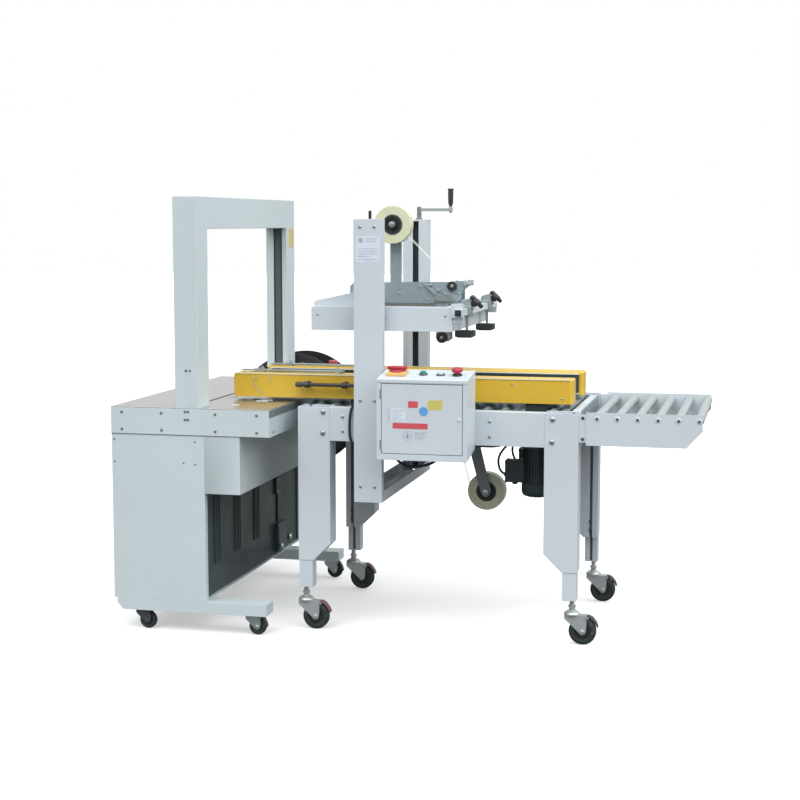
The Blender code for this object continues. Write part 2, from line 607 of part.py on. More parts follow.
def table_tops(paint, steel):
    top, under = TABLE_TOP, TABLE_TOP - 3 + GAP
    post = ARCH_POST + 2 + GAP
    left_plate = box((TABLE_LEFT, TABLE_FRONT, under), (SLOT_X - SLOT_HALF, TABLE_REAR, top))
    right_plate = box((SLOT_X + SLOT_HALF, TABLE_FRONT, under), (TABLE_RIGHT, TABLE_REAR, top))
    room = [((ARCH_LEFT - GAP, TABLE_FRONT - 5, under - 5), (ARCH_RIGHT + GAP, TABLE_FRONT + post, top + 5)),
            ((ARCH_LEFT - GAP, TABLE_REAR - post, under - 5), (ARCH_RIGHT + GAP, TABLE_REAR + 5, top + 5))]
    solid("table_flap_left", paint, [left_plate], [box(*corners) for corners in room],
          pivot=(TABLE_LEFT, (TABLE_FRONT + TABLE_REAR) / 2, top))
    x, y = STRAPPER_ESTOP
    switch_box = box((x - 32, y - 35, top - 1), (x + 32, y + 35, SWITCH_BOX_TOP))
    stem_hole = rod(9.6, "Z", (x, y, 0), SWITCH_BOX_TOP - 30, SWITCH_BOX_TOP + 5, 16)
    cuts = [box(*corners) for corners in room] + [stem_hole]
    solid("table_plate_right", steel, [right_plate, switch_box], cuts)


def arch(paint):
    """A hollow frame with a strap track slot round its inner faces."""
    front, rear, foot = TABLE_FRONT + 2, TABLE_REAR, TABLE_TOP - 3 + GAP

    def opening(outset, base):
        return (front + ARCH_POST - outset, base), (rear - ARCH_POST + outset, ARCH_TOP - ARCH_BEAM + outset)

    def ring(outer, inner, x_low, x_high):
        (y0, z0), (y1, z1) = outer
        (y2, _), (y3, z3) = inner
        outline = [(y0, z0), (y2, z0), (y2, z3), (y3, z3), (y3, z0), (y1, z0), (y1, z1), (y0, z1)]
        return prism(outline, "X", x_low, x_high)

    body = ring(((front, foot), (rear, ARCH_TOP)), opening(0, foot), ARCH_LEFT, ARCH_RIGHT)
    wall = ARCH_WALL
    cavity = ring(((front + wall, foot + wall), (rear - wall, ARCH_TOP - wall)), opening(wall, foot + wall),
                  ARCH_LEFT + wall, ARCH_RIGHT - wall)
    track = ring(opening(wall + 6, foot + wall + 30), opening(-3, foot + wall + 30), SLOT_X - 12, SLOT_X + 24)
    solid("arch", paint, [body], [cavity, track])


def strapping_head(steel):
    y_mid = 420.0
    body = box((SLOT_X - 46, y_mid - 110, SKIRT_BOTTOM + 4), (SLOT_X + 34, y_mid + 110, 800))
    jaw = box((SLOT_X - 20, y_mid - 45, 799), (SLOT_X + 20, y_mid + 45, TABLE_TOP - 6))
    feed = rod(26, "X", (0, y_mid - 60, 770), SLOT_X - 60, SLOT_X + 56, 16)
    drive = rod(34, "X", (0, y_mid + 70, 766), SLOT_X - 58, SLOT_X + 60, 16)
    solid("strapping_head", steel, [body, jaw, feed, drive])


def strap_reel(black):
    low, high = REEL_FRONT, REEL_REAR
    profile = [(REEL_BORE, low), (REEL_RADIUS, low), (REEL_RADIUS, low + 4), (STRAP_RADIUS, low + 5),
               (STRAP_RADIUS, high - 5), (REEL_RADIUS, high - 4), (REEL_RADIUS, high), (REEL_BORE, high)]
    solid("strap_reel", black, [turned(profile, "Y", (REEL_X, 0, REEL_Z), 40)],
          pivot=(REEL_X, (low + high) / 2, REEL_Z))


def strapper_estop(red):
    profile = [(0, -16), (9, -16), (9, 12), (20, 14), (20, 22), (15, 26), (0, 27)]
    seat = (*STRAPPER_ESTOP, SWITCH_BOX_TOP)
    solid("strapper_estop_button", red, [turned(profile, "Z", seat, 16)], pivot=seat)


# ---------------------------------------------------------------- casters

def caster(prefix, zinc, tyre, stem, size):
    """A swivel fork with its axle, and the wheel that trails behind the stem towards +X."""
    x, y = stem
    wheel, trail, head = size["wheel"], size["trail"], size["head"]
    half = size["width"] / 2
    plate, top = 2 * wheel + 4, size["top"] - GAP
    axle_x = x + trail
    if top > plate + 25:
        profile = [(0, plate), (head, plate), (head, plate + 12), (head * 0.6, plate + 18), (8, plate + 18),
                   (8, top), (0, top)]
    else:
        profile = [(0, plate), (head, plate), (head, top), (0, top)]
    bridge = box((x - head + 2, y - half - 5, plate - 1), (axle_x + wheel * 0.3, y + half + 5, plate + 3))
    cheek = [(x - head + 2, plate + 2), (axle_x + wheel * 0.3, plate + 2), (axle_x + 12, wheel - 2),
             (axle_x + 6, wheel - 11), (axle_x - 6, wheel - 11), (axle_x - 14, wheel),
             (x - head + 2, plate - 14)]
    near = prism(cheek, "Y", y - half - 5, y - half - 2)
    far = prism(cheek, "Y", y + half + 2, y + half + 5)
    axle = rod(5, "Y", (axle_x, y, wheel), -half - 8, half + 8, 8)
    solid(f"{prefix}_fork", zinc, [turned(profile, "Z", (x, y, 0), 14), bridge, near, far, axle],
          pivot=(x, y, plate))
    round_over = half * 0.3
    rim = [(5.5, -half - 1.5), (14, -half - 1.5), (wheel * 0.7, -half + 2), (wheel - round_over, -half),
           (wheel, -half + round_over)]
    profile = rim + [(radius, -position) for radius, position in reversed(rim)]
    solid(f"{prefix}_wheel", tyre, [turned(profile, "Y", (axle_x, y, wheel), 20)], pivot=(axle_x, y, wheel))


# ---------------------------------------------------------------- the line

def build():
    clear_scene()
    origin = bpy.data.objects.new("line_origin", None)
    origin.location = -LINE_ORIGIN * MM
    bpy.context.scene.collection.objects.link(origin)

    paint = material("sealer_paint", (0.57, 0.64, 0.69), 0.4)
    strapper_paint = material("strapper_paint", (0.51, 0.59, 0.62), 0.4)
    steel = material("steel", (0.45, 0.5, 0.52), 0.35, 0.8)
    zinc = material("zinc", (0.55, 0.6, 0.6), 0.3, 0.9)
    yellow = material("belt_cover_yellow", (0.57, 0.38, 0.03), 0.45)
    black = material("black", (0.02, 0.025, 0.03), 0.5)
    charcoal = material("charcoal", (0.045, 0.058, 0.06), 0.5)
    tape = material("tape", (0.69, 0.72, 0.4), 0.25)
    red = material("signal_red", (0.55, 0.03, 0.05), 0.35)
    green = material("signal_green", (0.04, 0.3, 0.15), 0.35)

    bed_rails(paint)
    bed_deck(steel)
    for side in ("front", "rear"):
        for end in ("left", "right"):
            leg(f"leg_{side}_{end}", paint, end == "right", side == "rear")
            stem_x = STEM_X if end == "left" else BED_LENGTH - STEM_X
            stem_y = STEM_Y if side == "front" else BED_WIDTH - STEM_Y
            caster(f"sealer_{side}_{end}", zinc, black, (stem_x, stem_y), SEALER_CASTER)
    columns(paint)
    crank(zinc)
    head_frame(paint)
    upper_tape_head(steel)
    tape_roll("upper_tape_roll", tape, UPPER_ROLL)
    presser("presser_front", black, 150.0)
    presser("presser_rear", black, 558.0)
    for side in ("front", "rear"):
        belt_unit(side, yellow)
        drive_motor(side, black)
    lower_tape_head(steel)
    tape_roll("lower_tape_roll", tape, LOWER_ROLL)
    control_box(paint, red, green, black)
    extension(paint, zinc)

    strapper_base(strapper_paint)
    strapper_cabinet(strapper_paint, charcoal)
    table_frame(strapper_paint)
    table_tops(strapper_paint, steel)
    arch(strapper_paint)
    strapping_head(steel)
    strap_reel(black)
    strapper_estop(red)
    for place, stem in STRAPPER_STEMS.items():
        caster(f"strapper_{place}", zinc, black, stem, STRAPPER_CASTER)


build()
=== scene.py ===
"""Looks of a carton sealing and strapping line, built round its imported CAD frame.

Working lengths are millimetres from the left end and front face of the sealer's bed,
as in the CAD: X along the conveyor, Y away from the operator, Z up from the floor.
"""

import json
from math import atan2, cos, pi, radians, sin

import bmesh
import bpy
from mathutils import Matrix, Vector


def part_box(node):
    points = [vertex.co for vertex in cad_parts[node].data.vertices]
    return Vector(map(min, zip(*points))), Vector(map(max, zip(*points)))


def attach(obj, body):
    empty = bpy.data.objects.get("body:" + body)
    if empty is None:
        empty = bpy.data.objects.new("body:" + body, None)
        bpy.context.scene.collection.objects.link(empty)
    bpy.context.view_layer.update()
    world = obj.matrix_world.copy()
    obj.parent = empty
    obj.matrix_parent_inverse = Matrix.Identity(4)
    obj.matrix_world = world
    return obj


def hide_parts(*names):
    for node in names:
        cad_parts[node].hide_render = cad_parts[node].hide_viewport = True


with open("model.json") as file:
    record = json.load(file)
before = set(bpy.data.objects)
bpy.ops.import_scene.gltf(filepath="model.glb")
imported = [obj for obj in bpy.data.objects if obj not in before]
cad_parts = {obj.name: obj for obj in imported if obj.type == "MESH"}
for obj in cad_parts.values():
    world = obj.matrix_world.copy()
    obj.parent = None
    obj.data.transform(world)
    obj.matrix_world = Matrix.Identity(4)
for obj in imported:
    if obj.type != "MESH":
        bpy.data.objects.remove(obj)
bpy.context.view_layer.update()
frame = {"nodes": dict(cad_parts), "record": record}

MM = 0.001
ORIGIN = Vector((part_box("bed_deck")[0].x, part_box("bed_rail_front")[0].y, 0.0))
BODY_OF = {node: body for body, nodes in frame["record"]["behaviour"]["bodies"].items() for node in nodes}
ROOT = BODY_OF["bed_deck"]


def at(x, y, z):
    """A working point as a row-frame position in metres."""
    return ORIGIN + Vector((x, y, z)) * MM


def span(node):
    """The lowest and highest corners of a CAD node, in working millimetres."""
    low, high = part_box(node)
    return (low - ORIGIN) / MM, (high - ORIGIN) / MM


# ---------------------------------------------------------------- camera, light and floor

scene = bpy.context.scene
scene.view_settings.view_transform = "Standard"


def make_camera():
    lens = bpy.data.cameras.new("view_camera")
    lens.lens = 71.9
    lens.sensor_width = 36.0
    item = bpy.data.objects.new("view_camera", lens)
    scene.collection.objects.link(item)
    item.location = at(1684.8, -5515.6, 1484.9)
    item.rotation_euler = (radians(90 - 6.3), 0, radians(13.3))
    scene.camera = item


def make_sun(name, toward, strength, spread):
    """A wide, soft light from one direction, which leaves the floor evenly lit."""
    lamp = bpy.data.lights.new(name, "SUN")
    lamp.energy = strength
    lamp.angle = radians(spread)
    item = bpy.data.objects.new(name, lamp)
    scene.collection.objects.link(item)
    item.rotation_euler = Vector(toward).to_track_quat("Z", "Y").to_euler()


def make_sky():
    """Light that is strongest overhead, seen against white paper."""
    world = bpy.data.worlds.new("studio")
    scene.world = world
    world.use_nodes = True
    tree = world.node_tree
    nodes, links = tree.nodes, tree.links
    direction = nodes.new("ShaderNodeSeparateXYZ")
    links.new(nodes.new("ShaderNodeTexCoord").outputs["Generated"], direction.inputs["Vector"])
    height = nodes.new("ShaderNodeMapRange")
    height.inputs["From Min"].default_value = -1.0
    links.new(direction.outputs["Z"], height.inputs["Value"])
    shades = nodes.new("ShaderNodeValToRGB")
    stops = shades.color_ramp.elements
    stops.new(0.48)
    stops.new(0.56)
    for stop, value in zip(stops, (0.09, 0.34, 0.80, 1.0)):
        stop.color = (value * 0.98, value * 0.99, value, 1.0)
    links.new(height.outputs["Result"], shades.inputs["Fac"])
    sky = nodes["Background"]
    links.new(shades.outputs["Color"], sky.inputs["Color"])
    paper = nodes.new("ShaderNodeBackground")
    paper.inputs["Color"].default_value = (1.0, 1.0, 1.0, 1.0)
    mix = nodes.new("ShaderNodeMixShader")
    links.new(nodes.new("ShaderNodeLightPath").outputs["Is Camera Ray"], mix.inputs["Fac"])
    links.new(sky.outputs["Background"], mix.inputs[1])
    links.new(paper.outputs["Background"], mix.inputs[2])
    links.new(mix.outputs["Shader"], nodes["World Output"].inputs["Surface"])


def make_studio():
    make_sky()
    make_sun("high_right_light", (0.66, -0.22, 0.72), 2.6, 70)
    make_sun("front_light", (-0.20, -0.62, 0.76), 1.6, 40)
    bm = bmesh.new()
    bmesh.ops.create_grid(bm, x_segments=2, y_segments=2, size=40.0)
    mesh = bpy.data.meshes.new("floor")
    bm.to_mesh(mesh)
    bm.free()
    floor = bpy.data.objects.new("floor", mesh)
    floor.location = (0, 0, -0.0005)
    floor.visible_diffuse = False
    floor.visible_glossy = False
    scene.collection.objects.link(floor)
    mesh.materials.append(MATERIALS["floor"])


# ---------------------------------------------------------------- materials

MATERIALS = {}


class Shade:
    """A Principled material with small helpers for procedural detail."""

    def __init__(self, name, colour, roughness, metallic=0.0, coat=0.0):
        self.material = bpy.data.materials.new(name)
        self.material.use_nodes = True
        self.tree = self.material.node_tree
        self.shader = self.tree.nodes["Principled BSDF"]
        self.shader.inputs["Base Color"].default_value = (*colour, 1)
        self.shader.inputs["Roughness"].default_value = roughness
        self.shader.inputs["Metallic"].default_value = metallic
        self.shader.inputs["Coat Weight"].default_value = coat
        self.colour, self.roughness = colour, roughness
        self.place = self.tree.nodes.new("ShaderNodeTexCoord").outputs["Object"]
        self.last_bump = None
        MATERIALS[name] = self.material

    def node(self, kind, **values):
        made = self.tree.nodes.new(kind)
        for key, value in values.items():
            setattr(made, key, value)
        return made

    def link(self, source, target):
        self.tree.links.new(source, target)

    def stretched(self, scale):
        """The object's coordinates with a different scale on each axis."""
        mapping = self.node("ShaderNodeMapping")
        mapping.inputs["Scale"].default_value = scale
        self.link(self.place, mapping.inputs["Vector"])
        return mapping.outputs["Vector"]

    def noise(self, scale, detail, place=None):
        made = self.node("ShaderNodeTexNoise")
        made.inputs["Scale"].default_value = scale
        made.inputs["Detail"].default_value = detail
        self.link(place or self.place, made.inputs["Vector"])
        return made.outputs["Fac"]

    def ramp(self, value, low, high, stops):
        """A value between low and high as one of two colours or greys."""
        made = self.node("ShaderNodeValToRGB")
        made.color_ramp.elements[0].position = low
        made.color_ramp.elements[1].position = high
        for element, stop in zip(made.color_ramp.elements, stops):
            element.color = (*stop, 1) if isinstance(stop, tuple) else (stop, stop, stop, 1)
        self.link(value, made.inputs["Fac"])
        return made.outputs["Color"]

    def mottle(self, scale, amount, place=None):
        """Uneven brightness round the base colour."""
        darker = tuple(channel * (1 - amount) for channel in self.colour)
        lighter = tuple(min(1.0, channel * (1 + amount)) for channel in self.colour)
        colour = self.ramp(self.noise(scale, 3.0, place), 0.3, 0.7, (darker, lighter))
        self.link(colour, self.shader.inputs["Base Color"])
        return colour

    def uneven_gloss(self, scale, amount, place=None):
        low, high = self.roughness - amount, self.roughness + amount
        grey = self.ramp(self.noise(scale, 4.0, place), 0.3, 0.7, (low, high))
        self.link(grey, self.shader.inputs["Roughness"])

    def bump(self, height, distance, strength):
        """Fine relief, added to any relief the material already has."""
        made = self.node("ShaderNodeBump")
        made.inputs["Distance"].default_value = distance
        made.inputs["Strength"].default_value = strength
        self.link(height, made.inputs["Height"])
        if self.last_bump:
            self.link(self.last_bump, made.inputs["Normal"])
        self.last_bump = made.outputs["Normal"]
        self.link(self.last_bump, self.shader.inputs["Normal"])

    def worn(self, base, wear_colour, scale, low, high):
        """Small scuffs of another colour over the base."""
        mask = self.ramp(self.noise(scale, 6.0), low, high, (0.0, 1.0))
        mix = self.node("ShaderNodeMix", data_type="RGBA")
        self.link(mask, mix.inputs["Factor"])
        self.link(base, mix.inputs["A"])
        mix.inputs["B"].default_value = (*wear_colour, 1)
        self.link(mix.outputs["Result"], self.shader.inputs["Base Color"])


def powder_coat(name, colour, roughness=0.42):
    """Sprayed powder paint: orange peel, slightly wavy sheet, faint handling marks."""
    made = Shade(name, colour, roughness, coat=0.12)
    base = made.mottle(2.3, 0.025)
    scuff = tuple(channel * 0.8 for channel in colour)
    made.worn(base, scuff, 21.0, 0.71, 0.9)
    made.uneven_gloss(9.0, 0.06)
    made.bump(made.noise(1.6, 1.0), 0.004, 0.25)
    made.bump(made.noise(950.0, 1.0), 0.00006, 0.6)
    return made


def moulded(name, colour, roughness, coat=0.0):
    """Moulded plastic: fine grain and slightly uneven gloss."""
    made = Shade(name, colour, roughness, coat=coat)
    made.mottle(30.0, 0.05)
    made.uneven_gloss(60.0, 0.07)
    made.bump(made.noise(1400.0, 2.0), 0.00005, 0.6)
    return made


def plated(name, colour, roughness, grain=(40.0, 40.0, 40.0), metallic=0.9):
    """Plated or brushed metal with a grain along its short scale."""
    made = Shade(name, colour, roughness, metallic)
    made.mottle(5.0, 0.06, place=made.stretched(grain))
    made.uneven_gloss(8.0, 0.1, made.stretched(grain))
    made.bump(made.noise(30.0, 2.0, made.stretched(grain)), 0.00003, 0.5)
    return made


def galvanised(name, colour):
    """Hot-dipped sheet with its spangle."""
    made = Shade(name, colour, 0.5, 0.45)
    cells = made.node("ShaderNodeTexVoronoi")
    cells.inputs["Scale"].default_value = 95.0
    made.link(made.place, cells.inputs["Vector"])
    tone = made.node("ShaderNodeSeparateColor")
    made.link(cells.outputs["Color"], tone.inputs["Color"])
    darker = tuple(channel * 0.95 for channel in colour)
    lighter = tuple(channel * 1.05 for channel in colour)
    made.link(made.ramp(tone.outputs["Red"], 0.1, 0.9, (darker, lighter)), made.shader.inputs["Base Color"])
    made.link(made.ramp(tone.outputs["Green"], 0.0, 1.0, (0.46, 0.54)), made.shader.inputs["Roughness"])
    made.bump(made.noise(700.0, 2.0), 0.00004, 0.4)


def wound_tape(name, colour):
    """A roll of clear tape: slightly cloudy, with a soft gloss."""
    made = Shade(name, colour, 0.3, coat=0.35)
    made.mottle(25.0, 0.04)
    made.uneven_gloss(120.0, 0.08)
    made.bump(made.noise(600.0, 2.0), 0.00004, 0.4)


def clear_film(name, colour):
    """A single thickness of clear tape."""
    made = Shade(name, colour, 0.12)
    made.shader.inputs["Alpha"].default_value = 0.32
    made.bump(made.noise(160.0, 2.0), 0.0001, 0.4)


def tread_rubber(name, colour):
    """A caster's tyre, scuffed by the floor."""
    made = Shade(name, colour, 0.62)
    base = made.mottle(40.0, 0.2)
    made.worn(base, (0.16, 0.16, 0.155), 65.0, 0.6, 0.9)
    made.bump(made.noise(800.0, 3.0), 0.00012, 0.7)


def make_materials():
    powder_coat("sealer_paint", (0.52, 0.575, 0.62))
    powder_coat("strapper_paint", (0.50, 0.575, 0.595), 0.45)
    # The charcoal is the panel's real dark paint made a quarter darker still; that extra darkness is painted
    # shade for the shaded side panel.
    powder_coat("charcoal_paint", (0.026, 0.046, 0.048), 0.42)
    powder_coat("yellow_paint", (0.60, 0.385, 0.03), 0.4)
    # A paler cream copy of the yellow paint: a painted highlight along the belt covers' top edges.
    powder_coat("yellow_highlight", (0.62, 0.56, 0.36), 0.4)
    powder_coat("motor_black", (0.016, 0.032, 0.034), 0.5)
    galvanised("galvanised_steel", (0.29, 0.36, 0.39))
    plated("stainless_steel", (0.60, 0.60, 0.585), 0.33, (2.0, 60.0, 60.0), 1.0)
    plated("zinc", (0.43, 0.50, 0.50), 0.34)
    plated("roller_steel", (0.44, 0.48, 0.48), 0.40, (60.0, 3.0, 60.0), 0.6)
    plated("chrome", (0.42, 0.46, 0.47), 0.24)
    plated("dark_steel", (0.10, 0.115, 0.12), 0.42, metallic=0.7)
    plated("grey_strut", (0.20, 0.235, 0.25), 0.45, metallic=0.4)
    moulded("black_plastic", (0.016, 0.017, 0.018), 0.45)
    moulded("grip_plastic", (0.045, 0.040, 0.040), 0.55)
    moulded("red_plastic", (0.36, 0.018, 0.035), 0.34, 0.3)
    moulded("faded_red_plastic", (0.56, 0.08, 0.10), 0.42)
    moulded("green_plastic", (0.03, 0.20, 0.13), 0.34, 0.3)
    moulded("white_plastic", (0.50, 0.55, 0.55), 0.4)
    moulded("orange_plastic", (0.72, 0.42, 0.15), 0.45)
    moulded("pedal_plastic", (0.13, 0.055, 0.065), 0.5)
    moulded("label_white", (0.60, 0.66, 0.74), 0.5)
    moulded("label_ink", (0.36, 0.42, 0.50), 0.5)
    moulded("label_blue", (0.10, 0.32, 0.62), 0.45)
    moulded("label_yellow", (0.54, 0.48, 0.12), 0.45)
    moulded("core_card", (0.055, 0.06, 0.06), 0.75)
    moulded("strap_plastic", (0.025, 0.035, 0.038), 0.32)
    moulded("belt_rubber", (0.022, 0.034, 0.034), 0.62)
    moulded("cable_black", (0.012, 0.012, 0.013), 0.4)
    # Dark grey that paints the shade inside slots and tracks; the control door's seal also takes it as its
    # own dark colour.
    moulded("slot_shade_and_seal_dark", (0.078, 0.092, 0.100), 0.7)
    wound_tape("tape_film", (0.60, 0.63, 0.44))
    clear_film("clear_tape", (0.66, 0.70, 0.69))
    tread_rubber("wheel_rubber", (0.014, 0.024, 0.026))
    paper = Shade("floor", (0.62, 0.625, 0.63), 0.75)
    paper.shader.inputs["Emission Color"].default_value = (1.0, 1.0, 1.0, 1.0)
    paper.shader.inputs["Emission Strength"].default_value = 0.38


# ---------------------------------------------------------------- shapes

def facing(direction):
    """The rotation that takes +Z to a direction."""
    return Vector((0, 0, 1)).rotation_difference(Vector(direction).normalized()).to_matrix().to_4x4()


def block(bm, low, high):
    """A plain block between two working corners."""
    verts = bmesh.ops.create_cube(bm, size=1.0)["verts"]
    size = (Vector(high) - Vector(low)) * MM
    middle = at(*((Vector(high) + Vector(low)) / 2))
    bmesh.ops.transform(bm, matrix=Matrix.Translation(middle) @ Matrix.Diagonal((*size, 1)), verts=verts)
    return verts


def walls(bm, joins):
    """The faces between pairs of rings that have the same number of vertices."""
    faces = []
    for first, second in joins:
        for step in range(len(first)):
            after = (step + 1) % len(first)
            faces.append(bm.faces.new((first[step], first[after], second[after], second[step])))
    return faces


def prism(bm, outline, axis, low, high):
    """An outline in the other two axes, in X-Y-Z order, extruded along an axis."""
    order = {"X": (2, 0, 1), "Y": (0, 2, 1), "Z": (0, 1, 2)}[axis]
    rings = []
    for depth in (low, high):
        points = [Vector([(u, v, depth)[index] for index in order]) for u, v in outline]
        rings.append([bm.verts.new(at(*point)) for point in points])
    faces = [bm.faces.new(ring) for ring in rings] + walls(bm, [rings])
    bmesh.ops.recalc_face_normals(bm, faces=faces)
    return rings[0] + rings[1]


def mirrored(profile):
    """A lathe profile's near half with its far half added."""
    return profile + [(radius, -distance) for radius, distance in reversed(profile)]


def lathe(bm, profile, centre, direction, segments=32):
    """A closed (radius, distance) profile turned about a direction through a working point."""
    place = Matrix.Translation(at(*centre)) @ facing(direction)
    rings = []
    for radius, distance in profile:
        if radius < 1e-6:
            rings.append([bm.verts.new(place @ Vector((0, 0, distance * MM)))])
            continue
        angles = [2 * pi * step / segments for step in range(segments)]
        points = [Vector((radius * cos(a), radius * sin(a), distance)) * MM for a in angles]
        rings.append([bm.verts.new(place @ point) for point in points])
    faces = []
    for first, second in zip(rings, rings[1:] + rings[:1]):
        for step in range(segments):
            after = (step + 1) % segments
            corners = [first[step % len(first)], first[after % len(first)],
                       second[after % len(second)], second[step % len(second)]]
            unique = list(dict.fromkeys(corners))
            if len(unique) > 2:
                faces.append(bm.faces.new(unique))
    bmesh.ops.recalc_face_normals(bm, faces=faces)
    return [vert for ring in rings for vert in ring]


def rod(bm, radius, start, end, segments, chamfer=0.6):
    """A round bar between two working points, its ends lightly chamfered."""
    start, end = Vector(start), Vector(end)
    length = (end - start).length
    profile = [(0, 0), (radius - chamfer, 0), (radius, chamfer), (radius, length - chamfer),
               (radius - chamfer, length), (0, length)]
    return lathe(bm, profile, start, end - start, segments)


def smooth_path(points, steps=6):
    """A Catmull-Rom curve through working points."""
    points = [Vector(point) for point in points]
    padded = [2 * points[0] - points[1]] + points + [2 * points[-1] - points[-2]]
    path = []
    for a, b, c, d in zip(padded, padded[1:], padded[2:], padded[3:]):
        for step in range(steps):
            t = step / steps
            path.append(0.5 * (2 * b + (c - a) * t + (2 * a - 5 * b + 4 * c - d) * t * t
                               + (3 * b - a - 3 * c + d) * t ** 3))
    return path + [points[-1]]


def tube(bm, points, radius, sides=10):
    """A round tube swept along working points, with closed ends."""
    points = [Vector(point) for point in points]
    rings, side = [], None
    for index, point in enumerate(points):
        ahead = (points[min(index + 1, len(points) - 1)] - points[max(index - 1, 0)]).normalized()
        if side is None:
            side = ahead.orthogonal().normalized()
        side = (side - ahead * side.dot(ahead)).normalized()
        other = ahead.cross(side)
        angles = [2 * pi * step / sides for step in range(sides)]
        rings.append([bm.verts.new(at(*(point + (side * cos(a) + other * sin(a)) * radius))) for a in angles])
    faces = [bm.faces.new(rings[0]), bm.faces.new(rings[-1])] + walls(bm, zip(rings, rings[1:]))
    bmesh.ops.recalc_face_normals(bm, faces=faces)


def arc(centre, radius, start, end, steps):
    """Points on a circle between two angles in degrees."""
    angles = [radians(start + (end - start) * step / steps) for step in range(steps + 1)]
    return [(centre[0] + radius * cos(a), centre[1] + radius * sin(a)) for a in angles]


def rounded(low, high, radius, steps=5):
    """A rectangle's outline with round corners."""
    (x0, y0), (x1, y1) = low, high
    return (arc((x1 - radius, y0 + radius), radius, -90, 0, steps)
            + arc((x1 - radius, y1 - radius), radius, 0, 90, steps)
            + arc((x0 + radius, y1 - radius), radius, 90, 180, steps)
            + arc((x0 + radius, y0 + radius), radius, 180, 270, steps))


def turn(verts, bm, pivot, angle, axis):
    """Turns vertices about an axis through a working point."""
    bmesh.ops.rotate(bm, cent=at(*pivot), matrix=Matrix.Rotation(angle, 3, axis), verts=verts)


def piece(name, bm, material, body, bevel=0.0, stands_for=(), sharp=38):
    """Finishes a mesh as a piece of the object, in working order: mesh, edges, material, body."""
    mesh = bpy.data.meshes.new(name)
    bm.to_mesh(mesh)
    bm.free()
    mesh.shade_smooth()
    mesh.set_sharp_from_angle(angle=radians(sharp))
    mesh.materials.append(MATERIALS[material])
    item = bpy.data.objects.new(name, mesh)
    scene.collection.objects.link(item)
    if bevel:
        edges = item.modifiers.new("soft_edges", "BEVEL")
        edges.width = bevel * MM
        edges.segments = 2
        edges.limit_method = "ANGLE"
        edges.angle_limit = radians(sharp)
        edges.harden_normals = True
    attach(item, body)
    if stands_for:
        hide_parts(*stands_for)
    return item


def dressed(node, material, bevel):
    """A CAD node's own shape with folded or ground edges."""
    bm = bmesh.new()
    bm.from_mesh(frame["nodes"][node].data)
    bmesh.ops.remove_doubles(bm, verts=bm.verts, dist=0.00002)
    bmesh.ops.dissolve_limit(bm, angle_limit=radians(1), verts=bm.verts, edges=bm.edges)
    return piece(f"{node}_finished", bm, material, BODY_OF[node], bevel, (node,))


def blocks(name, body, material, bevel, corners):
    """A piece made only of plain blocks, given as (low corner, high corner) pairs."""
    bm = bmesh.new()
    for low, high in corners:
        block(bm, low, high)
    return piece(name, bm, material, body, bevel)


def screw(bm, place, direction, radius, height=None, socket=True):
    """A pan or button head with a hexagon socket, seated at a working point."""
    height = height or radius * 0.62
    profile = [(0, -0.5), (radius * 0.98, -0.5), (radius, height * 0.25), (radius * 0.86, height * 0.72),
               (radius * 0.6, height)]
    if socket:
        profile += [(radius * 0.46, height), (radius * 0.42, height * 0.35), (0, height * 0.35)]
    else:
        profile += [(0, height * 1.08)]
    lathe(bm, profile, place, direction, 18)


def hexagon(bm, place, direction, radius, height):
    """A hexagon nut or bolt head, seated at a working point."""
    profile = [(0, 0), (radius, 0), (radius, height * 0.8), (radius * 0.86, height), (0, height)]
    lathe(bm, profile, place, direction, 6)


def screws(name, body, places, direction, radius, material="zinc", **options):
    """A piece made only of like screws."""
    bm = bmesh.new()
    for place in places:
        screw(bm, place, direction, radius, **options)
    return piece(name, bm, material, body, sharp=50)


# ---------------------------------------------------------------- sealer: bed, legs and columns

BED_WIDTH = 738.0
CENTRE_Y = BED_WIDTH / 2
NEAR = (0, -1, 0)
FAR = (0, 1, 0)
LEFT = (-1, 0, 0)
RIGHT = (1, 0, 0)
UP = (0, 0, 1)


def across(points):
    """The same places on the far side of the sealer."""
    return [(x, BED_WIDTH - y, z) for x, y, z in points]


def either_side(distance):
    """A Y on each side of the bed's centre line, with the direction that faces outwards there."""
    return (CENTRE_Y - distance, NEAR), (CENTRE_Y + distance, FAR)


def both_sides(low, high):
    """A stretch of Y near the front face, and the like stretch on the far side."""
    return (low, high), (BED_WIDTH - high, BED_WIDTH - low)


